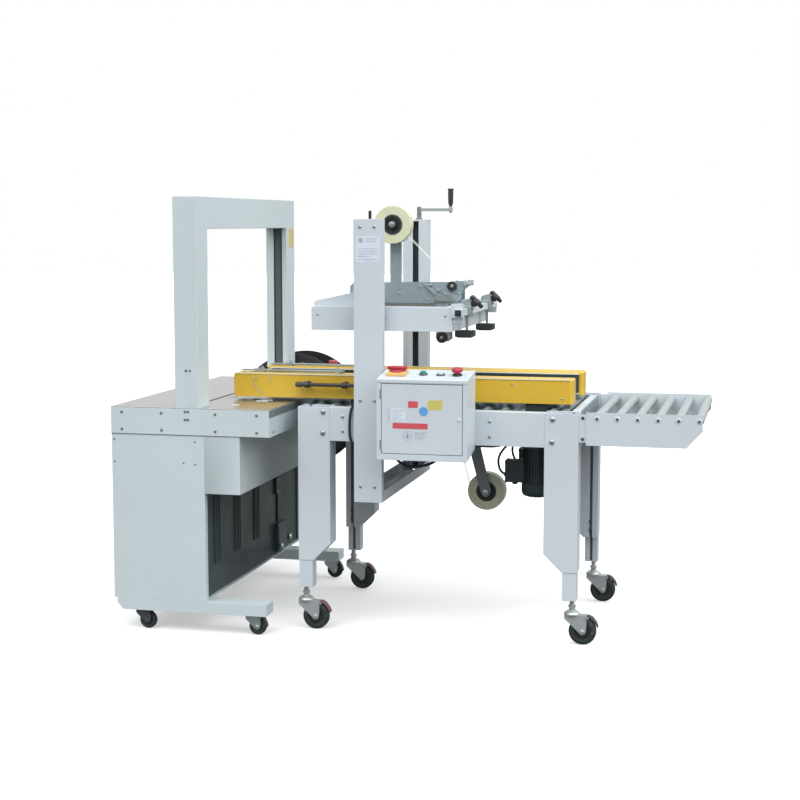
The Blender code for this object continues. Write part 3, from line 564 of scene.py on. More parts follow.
def build_bed():
    for side in ("front", "rear"):
        dressed(f"bed_rail_{side}", "sealer_paint", 1.2)
        dressed(f"column_{side}", "sealer_paint", 1.3)
        for end in ("left", "right"):
            dressed(f"leg_{side}_{end}", "sealer_paint", 1.2)
    dressed("bed_deck", "galvanised_steel", 0.5)
    leg_bolts = [(96, 0, 809), (94, 0, 733), (929, 0, 805), (927, 0, 725)]
    rail_screws = [(168, 0, 793), (168, 0, 741), (706, 0, 791), (706, 0, 737)]
    column_screws = [(x, -32, z) for z in (547, 857, 1474) for x in (243, 295)]
    for place, direction, mirror in (("near", NEAR, list), ("far", FAR, across)):
        screws(f"leg_bolts_{place}", ROOT, mirror(leg_bolts), direction, 9.5, "chrome",
               height=6.5, socket=False)
        screws(f"rail_screws_{place}", ROOT, mirror(rail_screws), direction, 6.0)
        stand_out = 13.6 if place == "far" else 0
        shifted = [(x, y - stand_out, z) for x, y, z in column_screws]
        screws(f"column_screws_{place}", ROOT, mirror(shifted), direction, 6.0)
    clamps = [(x, 80, z) for x in (27, 993) for z in (295, 327)]
    screws("leg_clamp_screws_near", ROOT, clamps, FAR, 7.0, "dark_steel")
    screws("leg_clamp_screws_far", ROOT, across(clamps), NEAR, 7.0, "dark_steel")
    # Dark sheets inside the legs' slots: painted shade for the hollow of each leg.
    bm = bmesh.new()
    for x in (27, 993):
        for low, high in both_sides(74, 76):
            block(bm, (x - 9, low, 278), (x + 9, high, 690))
        for low, high in both_sides(46, 47.5):
            block(bm, (x - 8, low, 168), (x + 8, high, 276))
    piece("leg_slot_shade_sheets", bm, "slot_shade_and_seal_dark", ROOT)


def build_carton_rollers():
    """The bed's free rollers, with gaps for the drives, the belt feet and the lower tape head."""
    bm = bmesh.new()
    spans = {x: ((92, 646),) for x in (42, 104, 236, 298, 360, 738, 912, 956)}
    spans.update({x: ((92, 324), (414, 646)) for x in (424, 486, 548, 610, 672)})
    for x, lengths in spans.items():
        for low, high in lengths:
            rod(bm, 13, (x, low, 812.5), (x, high, 812.5), 24, 1.5)
            rod(bm, 4, (x, low - 9, 812.5), (x, high + 9, 812.5), 10)
    # The rollers take the darker grey strut finish as painted shade, for they lie in shade under the belts.
    piece("carton_rollers", bm, "grey_strut", ROOT)
    bm = bmesh.new()
    for y in (80, 655):
        for low, high in ((6, 792), (896, 1014)):
            block(bm, (low, y, 785), (high, y + 3, 823))
    for y in (326.5, 408.5):
        block(bm, (402, y, 785), (698, y + 3, 820))
    piece("roller_carriers", bm, "galvanised_steel", ROOT, 0.4)
    blocks("bed_end_strip", ROOT, "sealer_paint", 1.0, [((985, 86, 817), (1012, 652, 823.5))])
    blocks("bed_end_seal", ROOT, "belt_rubber", 0.8, [((976, 86, 812), (984, 652, 821))])


def build_column_fittings():
    # Dark strips inside the columns' slots: painted shade for the hollow of each column.
    blocks("column_slot_shade_strips", ROOT, "slot_shade_and_seal_dark", 0, [
        ((226, -27, 840), (315, -25, 1494)),
        ((226, 776, 500), (315, 778, 1494)),
    ])
    bm = bmesh.new()
    rod(bm, 6, (280, -19.5, 840), (280, -19.5, 1492), 16)
    rod(bm, 6, (280, 769.5, 500), (280, 769.5, 1492), 16)
    piece("lift_screws", bm, "dark_steel", ROOT)
    bm = bmesh.new()
    for low, high in ((-29, 9), (745, 783)):
        prism(bm, rounded((222.5, low), (318.5, high), 3), "Z", 1494.5, 1497.5)
    piece("column_caps", bm, "sealer_paint", ROOT, 0.5)
    bm = bmesh.new()
    rod(bm, 5.5, (277, -20, 1497), (277, -20, 1530), 16, 1.0)
    piece("lift_screw_end", bm, "black_plastic", ROOT)
    cap_screws = [(x, y, 1497.5) for x, y in ((243, -18), (304, -18), (240, 760), (306, 760))]
    screws("column_cap_screws", ROOT, cap_screws, UP, 4.5)
    blocks("rating_label", ROOT, "label_white", 0, [((228, -32.5, 1348), (315, -31.9, 1441))])
    bm = bmesh.new()
    for z, low, high in ((1432, 264, 308), (1422, 264, 300), (1396, 234, 308), (1387, 234, 296),
                         (1378, 234, 304), (1369, 234, 280), (1360, 234, 300), (1354, 262, 288)):
        block(bm, (low, -32.8, z - 1.1), (high, -32.45, z + 1.1))
    lathe(bm, [(0, 0), (9, 0), (9, 0.4), (7.5, 0.4), (7.5, 0.1), (0, 0.1)], (246, -32.45, 1426), NEAR, 24)
    piece("rating_label_lines", bm, "label_ink", ROOT)


def build_crank():
    body = BODY_OF["crank_handle"]
    post_x, grip_x, y = 280, 408, 762
    bm = bmesh.new()
    lathe(bm, [(0, 0.3), (13, 0.3), (13, 6), (8.5, 8), (8.5, 12), (0, 12)], (post_x, y, 1501), UP)
    rod(bm, 9.0, (post_x, y, 1512), (post_x, y, 1552), 24, 1.5)
    piece("crank_post", bm, "grey_strut", body, 1.2)
    bm = bmesh.new()
    block(bm, (post_x - 4, y - 5.5, 1534), (grip_x + 8, y + 5.5, 1546))
    rod(bm, 7.2, (grip_x, y, 1533), (grip_x, y, 1553), 18, 1.2)
    lathe(bm, [(0, 0), (5.5, 0), (5.5, -5), (4.5, -6), (0, -6)], (grip_x, y, 1533), UP, 6)
    piece("crank_arm", bm, "roller_steel", body, 1.2, stands_for=("crank_handle",))
    bm = bmesh.new()
    profile = [(0, 1553), (6, 1553), (7, 1555), (7.4, 1566), (8.4, 1585), (9.8, 1606), (10.4, 1616),
               (12, 1618), (12.2, 1621), (10.5, 1623.5), (0, 1624)]
    lathe(bm, profile, (grip_x, y, 0), UP)
    for step in range(8):
        out = Vector((cos(pi * step / 4), sin(pi * step / 4), 0))
        start = Vector((grip_x, y, 1562)) + out * 8.7
        rod(bm, 1.1, start, start + out * 1.4 + Vector((0, 0, 48)), 6, 0.3)
    piece("crank_grip", bm, "grip_plastic", body)


# ---------------------------------------------------------------- sealer: lift head

def build_head():
    body = BODY_OF["head_frame"]
    dressed("head_frame", "sealer_paint", 1.5)
    bm = bmesh.new()
    for y, direction in either_side(CENTRE_Y - 4):
        prism(bm, rounded((578.5, 1159.5), (601.5, 1182.5), 3), "Y", y - 1.5, y + 1.5)
        screw(bm, (590, y + 1.5 * direction[1], 1171), direction, 4.0)
    piece("cross_tube_plugs", bm, "black_plastic", body, 0.4)
    bm = bmesh.new()
    outline = [(560, 1136), (606, 1136), (606, 1186), (598, 1192), (572, 1192), (560, 1188)]
    for low, high in both_sides(29, 32.5):
        prism(bm, outline, "Y", low, high)
    piece("tube_brackets", bm, "sealer_paint", body, 1.0)
    bm = bmesh.new()
    for y, direction in either_side(CENTRE_Y - 26):
        for x in (70, 540):
            screw(bm, (x, y, 1160), direction, 4.5)
    for y in (44, BED_WIDTH - 44):
        for x in (74, 150, 430, 530):
            screw(bm, (x, y, 1187), UP, 4.0)
    piece("head_screws", bm, "zinc", body, sharp=50)
    bm = bmesh.new()
    for low, high in both_sides(35, 58):
        block(bm, (54, low, 1187.2), (558, high, 1190.5))
    outline = [(46, 1187), (196, 1187), (196, 1238), (180, 1236), (56, 1209), (46, 1203)]
    for low, high in both_sides(60, 62.5):
        prism(bm, outline, "Y", low, high)
    for low, high in both_sides(60, 69):
        block(bm, (50, low, 1187.3), (196, high, 1189.5))
    piece("carton_guides", bm, "sealer_paint", body, 1.0)


def build_upper_tape_head():
    body = BODY_OF["upper_tape_head"]
    dressed("upper_tape_head", "galvanised_steel", 0.8)
    bm = bmesh.new()
    casting = [(433, 1196), (509, 1196), (513, 1206), (506, 1226), (488, 1229), (450, 1221), (436, 1213)]
    link = [(394, 1258.5), (427, 1258.5), (427, 1255), (412, 1253), (443, 1222), (436, 1216), (402, 1250)]
    for low, high in both_sides(CENTRE_Y - 43, CENTRE_Y - 38):
        prism(bm, casting, "Y", low, high)
        prism(bm, link, "Y", low, high)
        lathe(bm, [(0, low), (4.5, low), (4.5, high), (0, high)], (448, 0, 1238), FAR, 20)
    piece("tape_head_brackets", bm, "zinc", body, 0.8)
    bm = bmesh.new()
    upper = [(0, 0), (16, 0), (18, 2), (18, 14), (16, 16), (9, 16), (9, 13), (0, 13)]
    lower = [(0, 0), (20.5, 0), (21.5, 1.5), (21.5, 10.5), (20.5, 12), (9, 12), (9, 9), (0, 9)]
    for y, direction in either_side(37):
        lathe(bm, upper, (503, y, 1254), direction)
        lathe(bm, lower, (465, y, 1062), direction)
    piece("tape_guide_wheels", bm, "black_plastic", body)
    bm = bmesh.new()
    for y, direction in either_side(51):
        lathe(bm, [(0, 0), (6.5, 0), (6.5, 2), (5, 3.5), (0, 4)], (503, y, 1254), direction, 24)
    for y, direction in either_side(46):
        lathe(bm, [(0, 0), (7, 0), (7, 3), (6, 4.5), (0, 5)], (465, y, 1062), direction, 24)
    piece("tape_wheel_pins", bm, "chrome", body)
    bm = bmesh.new()
    rod(bm, 11, (553, CENTRE_Y - 46, 1266), (553, CENTRE_Y + 46, 1266), 32, 2.0)
    rod(bm, 4.5, (566, CENTRE_Y - 42, 1262), (566, CENTRE_Y + 42, 1262), 20, 1.0)
    piece("tape_head_rollers", bm, "roller_steel", body)
    bm = bmesh.new()
    across_coil, along_y = Vector((0.7, 0, 0.7)) * 4.4, Vector((0, 4.4, 0))
    for y, _ in either_side(46):
        coil = []
        for step in range(72):
            centre = Vector((448, y, 1240)).lerp(Vector((496, y, 1216)), step / 71)
            coil.append(centre + across_coil * cos(step * pi / 4) + along_y * sin(step * pi / 4))
        tube(bm, coil, 1.0, 5)
    piece("tape_head_springs", bm, "zinc", body)
    bm = bmesh.new()
    for y, direction in either_side(37):
        for x, z in ((130, 1225), (300, 1225), (380, 1250), (160, 1204), (410, 1204), (526, 1226)):
            screw(bm, (x, y, z), direction, 4.5)
    piece("tape_head_screws", bm, "zinc", body, sharp=50)
    bm = bmesh.new()
    blade = [(514, 1226), (528, 1222), (526, 1196), (516, 1196)]
    prism(bm, blade, "Y", CENTRE_Y - 30, CENTRE_Y + 30)
    piece("cutter_guard", bm, "dark_steel", body, 0.5)


def build_tape_roll(node, centre, lower):
    """A part-used roll on its core and hub, its side faces stepped like the winding."""
    body = BODY_OF[node]
    x, z = centre
    rings = [(38.2 + step * 2.1, -22.6 - (0.12 if step % 3 else 0.0)) for step in range(16)]
    bm = bmesh.new()
    lathe(bm, mirrored([(38.2, -22), *rings, (71, -22)]), (x, CENTRE_Y, z), FAR, 64)
    piece(f"{node}_film", bm, "tape_film", body, stands_for=(node,), sharp=55)
    bm = bmesh.new()
    lathe(bm, [(33, -24), (38, -24), (38, 24), (33, 24)], (x, CENTRE_Y, z), FAR, 48)
    piece(f"{node}_core", bm, "core_card", body)
    bm = bmesh.new()
    hub = mirrored([(8.4, -23), (15, -23), (15, -16), (26, -16), (26, -22), (32.7, -22)])
    lathe(bm, hub, (x, CENTRE_Y, z), FAR, 40)
    for step in range(4):
        angle = pi * step / 2 + 0.4
        place = Vector((x + 20 * cos(angle), CENTRE_Y, z + 20 * sin(angle)))
        rod(bm, 3.4, place + Vector((0, -21, 0)), place + Vector((0, 21, 0)), 8)
    piece(f"{node}_hub", bm, "black_plastic", body, 0.4)
    holder = BODY_OF["lower_tape_head" if lower else "upper_tape_head"]
    bm = bmesh.new()
    front = CENTRE_Y - (42 if lower else 36)
    lathe(bm, [(0, 0), (12, 0), (12, 3), (10.5, 5), (6, 6), (6, 8), (0, 8.5)], (x, front, z), NEAR, 24)
    hexagon(bm, (x, CENTRE_Y + (28 if lower else 38), z), FAR, 11, 7)
    piece(f"{node}_nut", bm, "chrome", holder)


def tape_web(name, body, points):
    """Clear tape led through working (x, z) points, as a thin band 44 mm wide."""
    bm = bmesh.new()
    rows = []
    for index, (x, z) in enumerate(points):
        ahead = Vector(points[min(index + 1, len(points) - 1)]) - Vector(points[max(index - 1, 0)])
        side = Vector((-ahead.y, ahead.x)).normalized() * 0.2
        ring = [(x + side.x, CENTRE_Y - 22, z + side.y), (x + side.x, CENTRE_Y + 22, z + side.y),
                (x - side.x, CENTRE_Y + 22, z - side.y), (x - side.x, CENTRE_Y - 22, z - side.y)]
        rows.append([bm.verts.new(at(*corner)) for corner in ring])
    faces = [bm.faces.new(rows[0]), bm.faces.new(rows[-1])] + walls(bm, zip(rows, rows[1:]))
    bmesh.ops.recalc_face_normals(bm, faces=faces)
    piece(name, bm, "clear_tape", body)


def build_presser(node, y):
    """A clamp on the cross tube, its locking knob, and the press block on its stem."""
    body = BODY_OF[node]
    x, z = 590, 1171
    bm = bmesh.new()
    for left, right, low, high in ((570, 577, -20, 20), (603, 612, -20, 20), (577, 603, 13, 20),
                                   (577, 603, -20, -13)):
        low, high = z + low, z + high
        prism(bm, [(left, low), (right, low), (right, high), (left, high)], "Y", y - 20, y + 20)
    piece(f"{node}_clamp", bm, "zinc", body, 1.2, (node,))
    knob_axis = Vector((0.7071, 0, 0.7071))
    seat = Vector((x + 8, y, z + 6))
    bm = bmesh.new()
    lug = [(572, z + 21), (572, z + 34), (582, z + 41), (599, z + 46), (611, z + 32), (613, z + 14),
           (604, z - 8), (603, z + 21)]
    prism(bm, lug, "Y", y - 19, y - 12)
    prism(bm, lug, "Y", y + 12, y + 19)
    rod(bm, 13, seat, seat + knob_axis * 18, 28, 2.0)
    lathe(bm, [(0, 0), (15.5, 0), (15.5, 6), (13, 8), (0, 8)], seat + knob_axis * 12, knob_axis, 6)
    piece(f"{node}_lug", bm, "zinc", body, 1.5)
    bm = bmesh.new()
    rod(bm, 8, seat + knob_axis * 16, seat + knob_axis * 34, 20, 0.5)
    piece(f"{node}_knob_stem", bm, "dark_steel", body)
    bm = bmesh.new()
    rod(bm, 5.2, (x + 4, y, 1100), (x + 4, y, z - 18), 20, 0.5)
    rod(bm, 5.2, (x + 4, y, z + 19), (x + 4, y, z + 38), 20, 1.2)
    piece(f"{node}_rods", bm, "chrome", body)
    bm = bmesh.new()
    base = seat + knob_axis * 31
    lathe(bm, [(0, -6), (12, -6), (14, 2), (21, 6), (21, 16), (18, 19.5), (0, 20.5)], base, knob_axis, 32)
    profile = [(0, 0), (7, 0), (9.4, 2.5), (9.4, 11), (7.5, 14), (0, 14.6)]
    for step in range(5):
        angle = 2 * pi * step / 5
        lobe = Vector((cos(angle), sin(angle), 0)) * 22
        lobe.rotate(facing(knob_axis).to_quaternion())
        lathe(bm, profile, base + knob_axis * 4 + lobe, knob_axis, 18)
    piece(f"{node}_knob", bm, "black_plastic", body, sharp=45)
    bm = bmesh.new()
    block(bm, (x - 36, y - 26, 1080), (x + 32, y + 26, 1102))
    prism(bm, [(x - 36, 1080.5), (x - 26, 1076), (x + 22, 1076), (x + 32, 1080.5)], "Y", y - 26, y + 26)
    piece(f"{node}_block", bm, "belt_rubber", body, 1.5)
    corners = [(x + dx, y + dy, 1102) for dx, dy in ((22, -14), (-20, -14), (-20, 14), (22, 14))]
    screws(f"{node}_screws", body, corners, UP, 3.6)


# ---------------------------------------------------------------- sealer: side belts and drives

BELT_LEFT = {"front": -300.0, "rear": -271.0}
BELT_RIGHT = 978.0
MOTOR_X = 846


def skin(bm, outlines, joins):
    """Level rings of (outline, height), with a wall between each pair of rings that joins names."""
    rings = [[bm.verts.new(at(x, y, z)) for x, y in outline] for outline, z in outlines]
    walls(bm, [(rings[first], rings[second]) for first, second in joins])
    return rings


def build_belt_unit(side):
    """A folded cover over a belt running between two upright pulleys, with its drive housing."""
    node = f"belt_unit_{side}"
    body = BODY_OF[node]
    left = BELT_LEFT[side]

    def y(value):
        return value if side == "front" else BED_WIDTH - value

    def slab(bm, x0, x1, y0, y1, z0, z1):
        near, far = sorted((y(y0), y(y1)))
        return block(bm, (x0, near, z0), (x1, far, z1))

    near, far = sorted((y(160), y(258)))
    bm = bmesh.new()
    outer, top, inner = (
        rounded((left + inset, near + inset), (BELT_RIGHT - inset, far - inset), 10 - inset, 4)
        for inset in (0, 4, 2.5))
    rings = skin(bm, ((outer, 840), (outer, 924), (top, 928), (inner, 924.5), (inner, 840)),
                 ((0, 1), (1, 2), (3, 4), (4, 0)))
    bm.faces.new(rings[2])
    bm.faces.new(rings[3])
    bmesh.ops.recalc_face_normals(bm, faces=bm.faces)
    piece(f"{node}_cover", bm, "yellow_paint", body, 0.8, (node,))
    bm = bmesh.new()
    slab(bm, 806, 886, 170, 250, 704, 852)
    slab(bm, 150, 200, 185, 235, 784.5, 852)
    piece(f"{node}_supports", bm, "motor_black", body, 1.5)

    # A pale strip along the cover's top edge: a painted highlight.
    bm = bmesh.new()
    low, high = sorted((y(157.6), y(163.5)))
    block(bm, (left + 8, low, 924.6), (BELT_RIGHT - 8, high, 929))
    piece(f"{node}_lit_top_lip", bm, "yellow_highlight", body, 0.8)

    start, end, middle = left + 38, BELT_RIGHT - 38, y(257)
    loop = arc((end, middle), 22, -90, 90, 12) + arc((start, middle), 22, 90, 270, 12)
    hole = arc((end, middle), 18.5, -90, 90, 12) + arc((start, middle), 18.5, 90, 270, 12)
    bm = bmesh.new()
    skin(bm, ((loop, 852), (loop, 917), (hole, 917), (hole, 852)), ((0, 1), (1, 2), (2, 3), (3, 0)))
    bmesh.ops.recalc_face_normals(bm, faces=bm.faces)
    for step in range(24):
        x = start + 10 + (end - start - 20) * step / 23
        ridge_low, ridge_high = sorted((y(279), y(280.2)))
        block(bm, (x - 2, ridge_low, 853), (x + 2, ridge_high, 916))
    piece(f"{node}_belt", bm, "belt_rubber", body)

    bm = bmesh.new()
    for x in (start, end):
        lathe(bm, [(0, 850), (17.8, 850), (17.8, 918), (0, 918)], (x, middle, 0), UP)
    piece(f"{node}_pulleys", bm, "dark_steel", body)
    bm = bmesh.new()
    slab(bm, start + 24, end - 24, 262, 273, 855, 907)
    slab(bm, left + 16, BELT_RIGHT - 16, 256, 276, 919, 922)
    slab(bm, left + 16, BELT_RIGHT - 16, 256, 275, 846, 849)
    piece(f"{node}_backing", bm, "sealer_paint", body, 0.6)
    bm = bmesh.new()
    facing_out = NEAR if side == "front" else FAR
    for x in (left + 90, left + 560, 470, 760, 940):
        screw(bm, (x, y(160), 908 if x < 900 else 860), facing_out, 4.2)
    for x in (start, end, 165, 185, 816, 876):
        screw(bm, (x, y(215), 928), UP, 5.0)
    piece(f"{node}_screws", bm, "zinc", body, sharp=50)
    build_belt_handle(node, y, facing_out, left + 253)
    build_belt_rail(node, y, left)
    if side == "rear":
        bm = bmesh.new()
        slab(bm, left - 2.5, left + 26, 166, 252, 842, 922)
        piece(f"{node}_end_block", bm, "belt_rubber", body, 2.0)


def build_belt_handle(node, y, facing_out, left):
    """A round handle on two standing collars, for pulling the belt unit across."""
    body = BODY_OF[node]
    bm = bmesh.new()
    line = y(131)
    rod(bm, 7.0, (left + 24, line, 893), (left + 292, line, 893), 24, 2)
    grip = [(0, 0), (8, 0), (10, 3), (10.5, 14), (9.5, 24), (7, 30), (0, 30)]
    lathe(bm, grip, (left, line, 893), RIGHT, 24)
    lathe(bm, grip, (left + 316, line, 893), LEFT, 24)
    for x in (left + 42, left + 186):
        lathe(bm, [(7, -8), (11, -8), (12, -6), (12, 6), (11, 8), (7, 8)], (x, line, 893), RIGHT, 24)
        rod(bm, 7.5, (x, line, 893), (x, y(160), 893), 20, 0.8)
        lathe(bm, [(0, 0), (12, 0), (12, 3), (10, 4), (0, 4)], (x, y(160), 893), facing_out, 24)
    piece(f"{node}_handle", bm, "grip_plastic", body, sharp=45)


def build_belt_rail(node, y, left):
    """The plated clamp rail above the cover, held by a block at each end."""
    body = BODY_OF[node]
    bm = bmesh.new()
    low, high = sorted((y(222), y(248)))
    block(bm, (left + 12, low, 932), (left + 410, high, 937))
    for x in (left + 90, left + 386):
        block(bm, (x - 12, low - 3, 928), (x + 12, high + 3, 932))
        lathe(bm, [(0, 0), (8, 0), (8, 5), (6.5, 6.5), (0, 6.5)], (x, y(235), 937), UP, 6)
        rod(bm, 3.5, (x, y(235), 940), (x, y(235), 950), 14)
    piece(f"{node}_clamp_rail", bm, "zinc", body, 0.8)
    bm = bmesh.new()
    tube(bm, smooth_path([(left + 92, y(228), 943), (left + 60, y(200), 938), (left + 80, y(157.5), 917),
                          (left + 84, y(156.8), 880), (left + 120, y(156.8), 853)], 5), 1.1, 6)
    tube(bm, smooth_path([(left + 132, y(228), 941), (left + 128, y(180), 934), (left + 150, y(157.5), 915),
                          (left + 136, y(156.8), 893)], 5), 0.9, 6)
    piece(f"{node}_sensor_wires", bm, "label_ink", body)


def build_motor(side):
    """A finned drive motor hanging under the bed, with its terminal box and fan cowl."""
    node = f"motor_{side}"
    body = BODY_OF[node]
    y = 210 if side == "front" else BED_WIDTH - 210
    bm = bmesh.new()
    profile = [(0, 497), (40, 497), (50, 500), (55, 507), (57, 516), (57, 546), (52.5, 547), (52.5, 672),
               (58, 673), (58, 688), (50, 693), (50, 703.6), (0, 703.6)]
    lathe(bm, profile, (MOTOR_X, y, 0), UP, 48)
    for step in range(32):
        angle = 2 * pi * step / 32
        if abs(angle - pi) < 0.42:  # the terminal box covers these fins
            continue
        verts = block(bm, (MOTOR_X + 51, y - 1.1, 549), (MOTOR_X + 58, y + 1.1, 671))
        turn(verts, bm, (MOTOR_X, y, 600), angle, "Z")
    for step in range(6):
        angle = 2 * pi * step / 6
        hexagon(bm, (MOTOR_X + 52 * cos(angle), y + 52 * sin(angle), 688), UP, 5, 4)
    piece(f"{node}_body", bm, "motor_black", body, stands_for=(node,), sharp=40)
    bm = bmesh.new()
    block(bm, (735, y - 33, 548), (802, y + 33, 626))
    prism(bm, rounded((y - 34, 545), (y + 34, 628), 4), "X", 732, 737)
    for dy in (-26, 26):
        for z in (554, 619):
            screw(bm, (732, y + dy, z), LEFT, 3.5)
    lathe(bm, [(0, 0), (10, 0), (10, 9), (8, 11), (0, 11)], (764, y, 548), (0, 0, -1), 24)
    piece(f"{node}_terminal_box", bm, "motor_black", body, 1.2)
    bm = bmesh.new()
    for radius in range(8, 43, 5):
        ring = [(radius, 496.4), (radius + 2, 496.4), (radius + 2, 497.4), (radius, 497.4)]
        lathe(bm, ring, (MOTOR_X, y, 0), UP, 32)
    piece(f"{node}_fan_grille", bm, "dark_steel", body)
    bm = bmesh.new()
    tube(bm, smooth_path([(733, y, 572), (720, y, 576), (707, y, 592), (702, y, 622), (712, y, 652),
                          (740, y, 684), (780, y, 712), (800, y, 718)]), 4.2)
    lathe(bm, [(4.4, 0), (9, 0), (9, 8), (7, 10), (4.4, 10)], (734, y, 572), LEFT, 20)
    piece(f"{node}_cable", bm, "cable_black", body)


def build_lower_tape_head():
    body = BODY_OF["lower_tape_head"]
    dressed("lower_tape_head", "galvanised_steel", 0.8)
    bm = bmesh.new()
    y = CENTRE_Y - 38.4
    x, z = 633, 482
    strut = [(556, 702), (598, 718), (x + 21, z + 6), (x + 15, z - 12), (x + 2, z - 19), (x - 12, z - 15),
             (x - 19, z + 2)]
    prism(bm, strut, "Y", y - 3.2, y)
    piece("lower_roll_strut", bm, "grey_strut", body, 0.9)
    bm = bmesh.new()
    for sx, sz in ((573, 700), (588, 670)):
        screw(bm, (sx, y - 3.2, sz), NEAR, 5.5)
    for sy, direction in either_side(33):
        for sx, sz in ((455, 800), (500, 690), (632, 806), (445, 665), (645, 665), (645, 760), (445, 745)):
            screw(bm, (sx, sy, sz), direction, 4.5)
    piece("lower_tape_head_screws", bm, "zinc", body, sharp=50)
    bm = bmesh.new()
    for x, z in ((455, 808), (632, 807)):
        lathe(bm, mirrored([(0, -27), (17, -27), (18, -26)]), (x, CENTRE_Y, z), FAR, 32)
    piece("lower_press_rollers", bm, "belt_rubber", body)


def build_bed_wiring():
    runs = (
        (5.2, 6, [(380, -70, 668), (388, -66, 652), (418, -58, 632), (462, -52, 630), (510, -56, 645),
                  (548, -70, 676)]),
        (4.2, 6, [(372, -60, 672), (376, -56, 660), (400, 10, 650), (440, 90, 668), (470, 150, 700),
                  (520, 170, 760)]),
        (5.0, 5, [(600, 40, 690), (640, 46, 697), (700, 50, 696), (740, 52, 702), (756, 54, 722)]),
        (4.6, 6, [(214, -10, 838), (203, -10, 820), (198, -11, 785), (197, -11, 750), (200, -10, 715),
                  (214, -8, 690)]),
    )
    bm = bmesh.new()
    for radius, steps, points in runs:
        tube(bm, smooth_path(points, steps), radius)
    piece("bed_cables", bm, "cable_black", ROOT)
    bm = bmesh.new()
    for x in (374, 550):
        lathe(bm, [(0, 0), (11, 0), (11, -8), (9, -12), (0, -12)], (x, -68, 681), UP, 6)
    piece("cable_glands", bm, "black_plastic", ROOT)


# ---------------------------------------------------------------- sealer: control box and extension

BOX_FRONT, LID_FRONT_Z, LID_REAR_Z = -150.0, 947.0, 970.0
LID_SLOPE = atan2(LID_REAR_Z - LID_FRONT_Z, -BOX_FRONT)
LID_UP = Vector((0, -sin(LID_SLOPE), cos(LID_SLOPE)))


def on_lid(x):
    """A point on the line where the controls stand on the box's sloping lid."""
    y = -75
    return Vector((x, y, LID_FRONT_Z + (y - BOX_FRONT) * (LID_REAR_Z - LID_FRONT_Z) / -BOX_FRONT))


def build_control_box():
    dressed("control_box", "sealer_paint", 2.0)
    blocks("control_lid_lip", ROOT, "sealer_paint", 0.7, [
        ((331, -151.6, 936), (655, -150, 947)),
        ((654, -150, 944), (655.6, -1, 947)),
    ])
    bm = bmesh.new()
    for x, y in ((344, -143), (631, -147.3)):
        block(bm, (x, y, 682), (x + 11, y + 2.3, 937))
    for z in (682, 926):
        block(bm, (344, -147.3, z), (642, -145, z + 11))
    piece("control_door_seal", bm, "slot_shade_and_seal_dark", ROOT)
    build_control_gear()
    build_door()
    build_switches()


def build_control_gear():
    """What shows when the door is open: relays and terminals on rails, with their wire ducts."""
    blocks("gear_plate", ROOT, "galvanised_steel", 0.4, [((350, -12, 706), (636, -10, 930))])
    bm = bmesh.new()
    for z in (738, 848):
        block(bm, (358, -18, z), (628, -12, z + 35))
    piece("gear_rails", bm, "zinc", ROOT, 0.5)
    bm = bmesh.new()
    for z in (708, 796, 906):
        block(bm, (352, -62, z), (634, -12, z + 22))
    piece("wire_ducts", bm, "grey_strut", ROOT, 1.5)
    relays, caps = bmesh.new(), bmesh.new()
    for x, width in ((370, 44), (418, 44), (470, 17), (491, 17), (512, 17), (540, 70)):
        block(relays, (x, -84, 832), (x + width, -18, 898))
        block(caps, (x + 3, -90, 846), (x + width - 3, -84, 884))
    piece("relays", relays, "grip_plastic", ROOT, 1.5)
    piece("relay_caps", caps, "white_plastic", ROOT, 1.0)
    bm = bmesh.new()
    for step in range(20):
        block(bm, (364 + step * 13, -56, 734), (375 + step * 13, -18, 778))
        lathe(bm, [(0, 0), (3.4, 0), (3.4, 1.4), (0, 1.4)], (369.5 + step * 13, -56, 745), NEAR, 12)
    piece("terminals", bm, "white_plastic", ROOT, 0.6)


def build_door():
    body = BODY_OF["control_door"]
    dressed("control_door", "sealer_paint", 1.0)
    front = -150.0
    decals = {
        "label_white": [((384, 800), (436, 846))],
        "faded_red_plastic": [((445, 850), (480, 873)), ((390, 776), (515, 796))],
        "label_yellow": [((516, 844), (566, 878))],
    }
    for material, corners in decals.items():
        bm = bmesh.new()
        for (x0, z0), (x1, z1) in corners:
            prism(bm, rounded((x0, z0), (x1, z1), 3), "Y", front - 0.5, front)
        piece(f"door_{material}_decals", bm, material, body)
    bm = bmesh.new()
    lathe(bm, [(0, 0), (16, 0), (16, 0.5), (0, 0.5)], (500, front, 838), NEAR, 36)
    piece("door_blue_decal", bm, "label_blue", body)
    bm = bmesh.new()
    lathe(bm, [(15, 0), (17, 0), (17, 0.5), (15, 0.5)], (443, front, 752), NEAR, 36)
    lines = [((441, 742), (445, 764)), ((434, 750), (452, 753)), ((438, 744), (448, 746)),
             ((468, 763), (512, 765)), ((468, 756), (506, 758)), ((468, 749), (512, 751)),
             ((468, 742), (498, 744)), ((390, 838), (430, 840)), ((390, 830), (424, 832)),
             ((390, 822), (430, 824)), ((390, 814), (418, 816)), ((390, 806), (428, 808)),
             ((374, 800), (376, 844))]
    for (x0, z0), (x1, z1) in lines:
        block(bm, (x0, front - 0.7, z0), (x1, front - 0.45, z1))
    piece("door_fine_print", bm, "label_ink", body)
    bm = bmesh.new()
    for z in (720, 898):
        rod(bm, 3.6, (347.2, front - 0.4, z - 17), (347.2, front - 0.4, z + 17), 14)
    piece("door_hinges", bm, "zinc", body)
    bm = bmesh.new()
    lathe(bm, [(0, 0), (7, 0), (7, 1.2), (6, 1.8), (0, 1.8)], (626, front, 810), NEAR, 28)
    block(bm, (625.2, front - 2.2, 806), (626.8, front - 1.7, 814))
    piece("door_lock", bm, "sealer_paint", body)


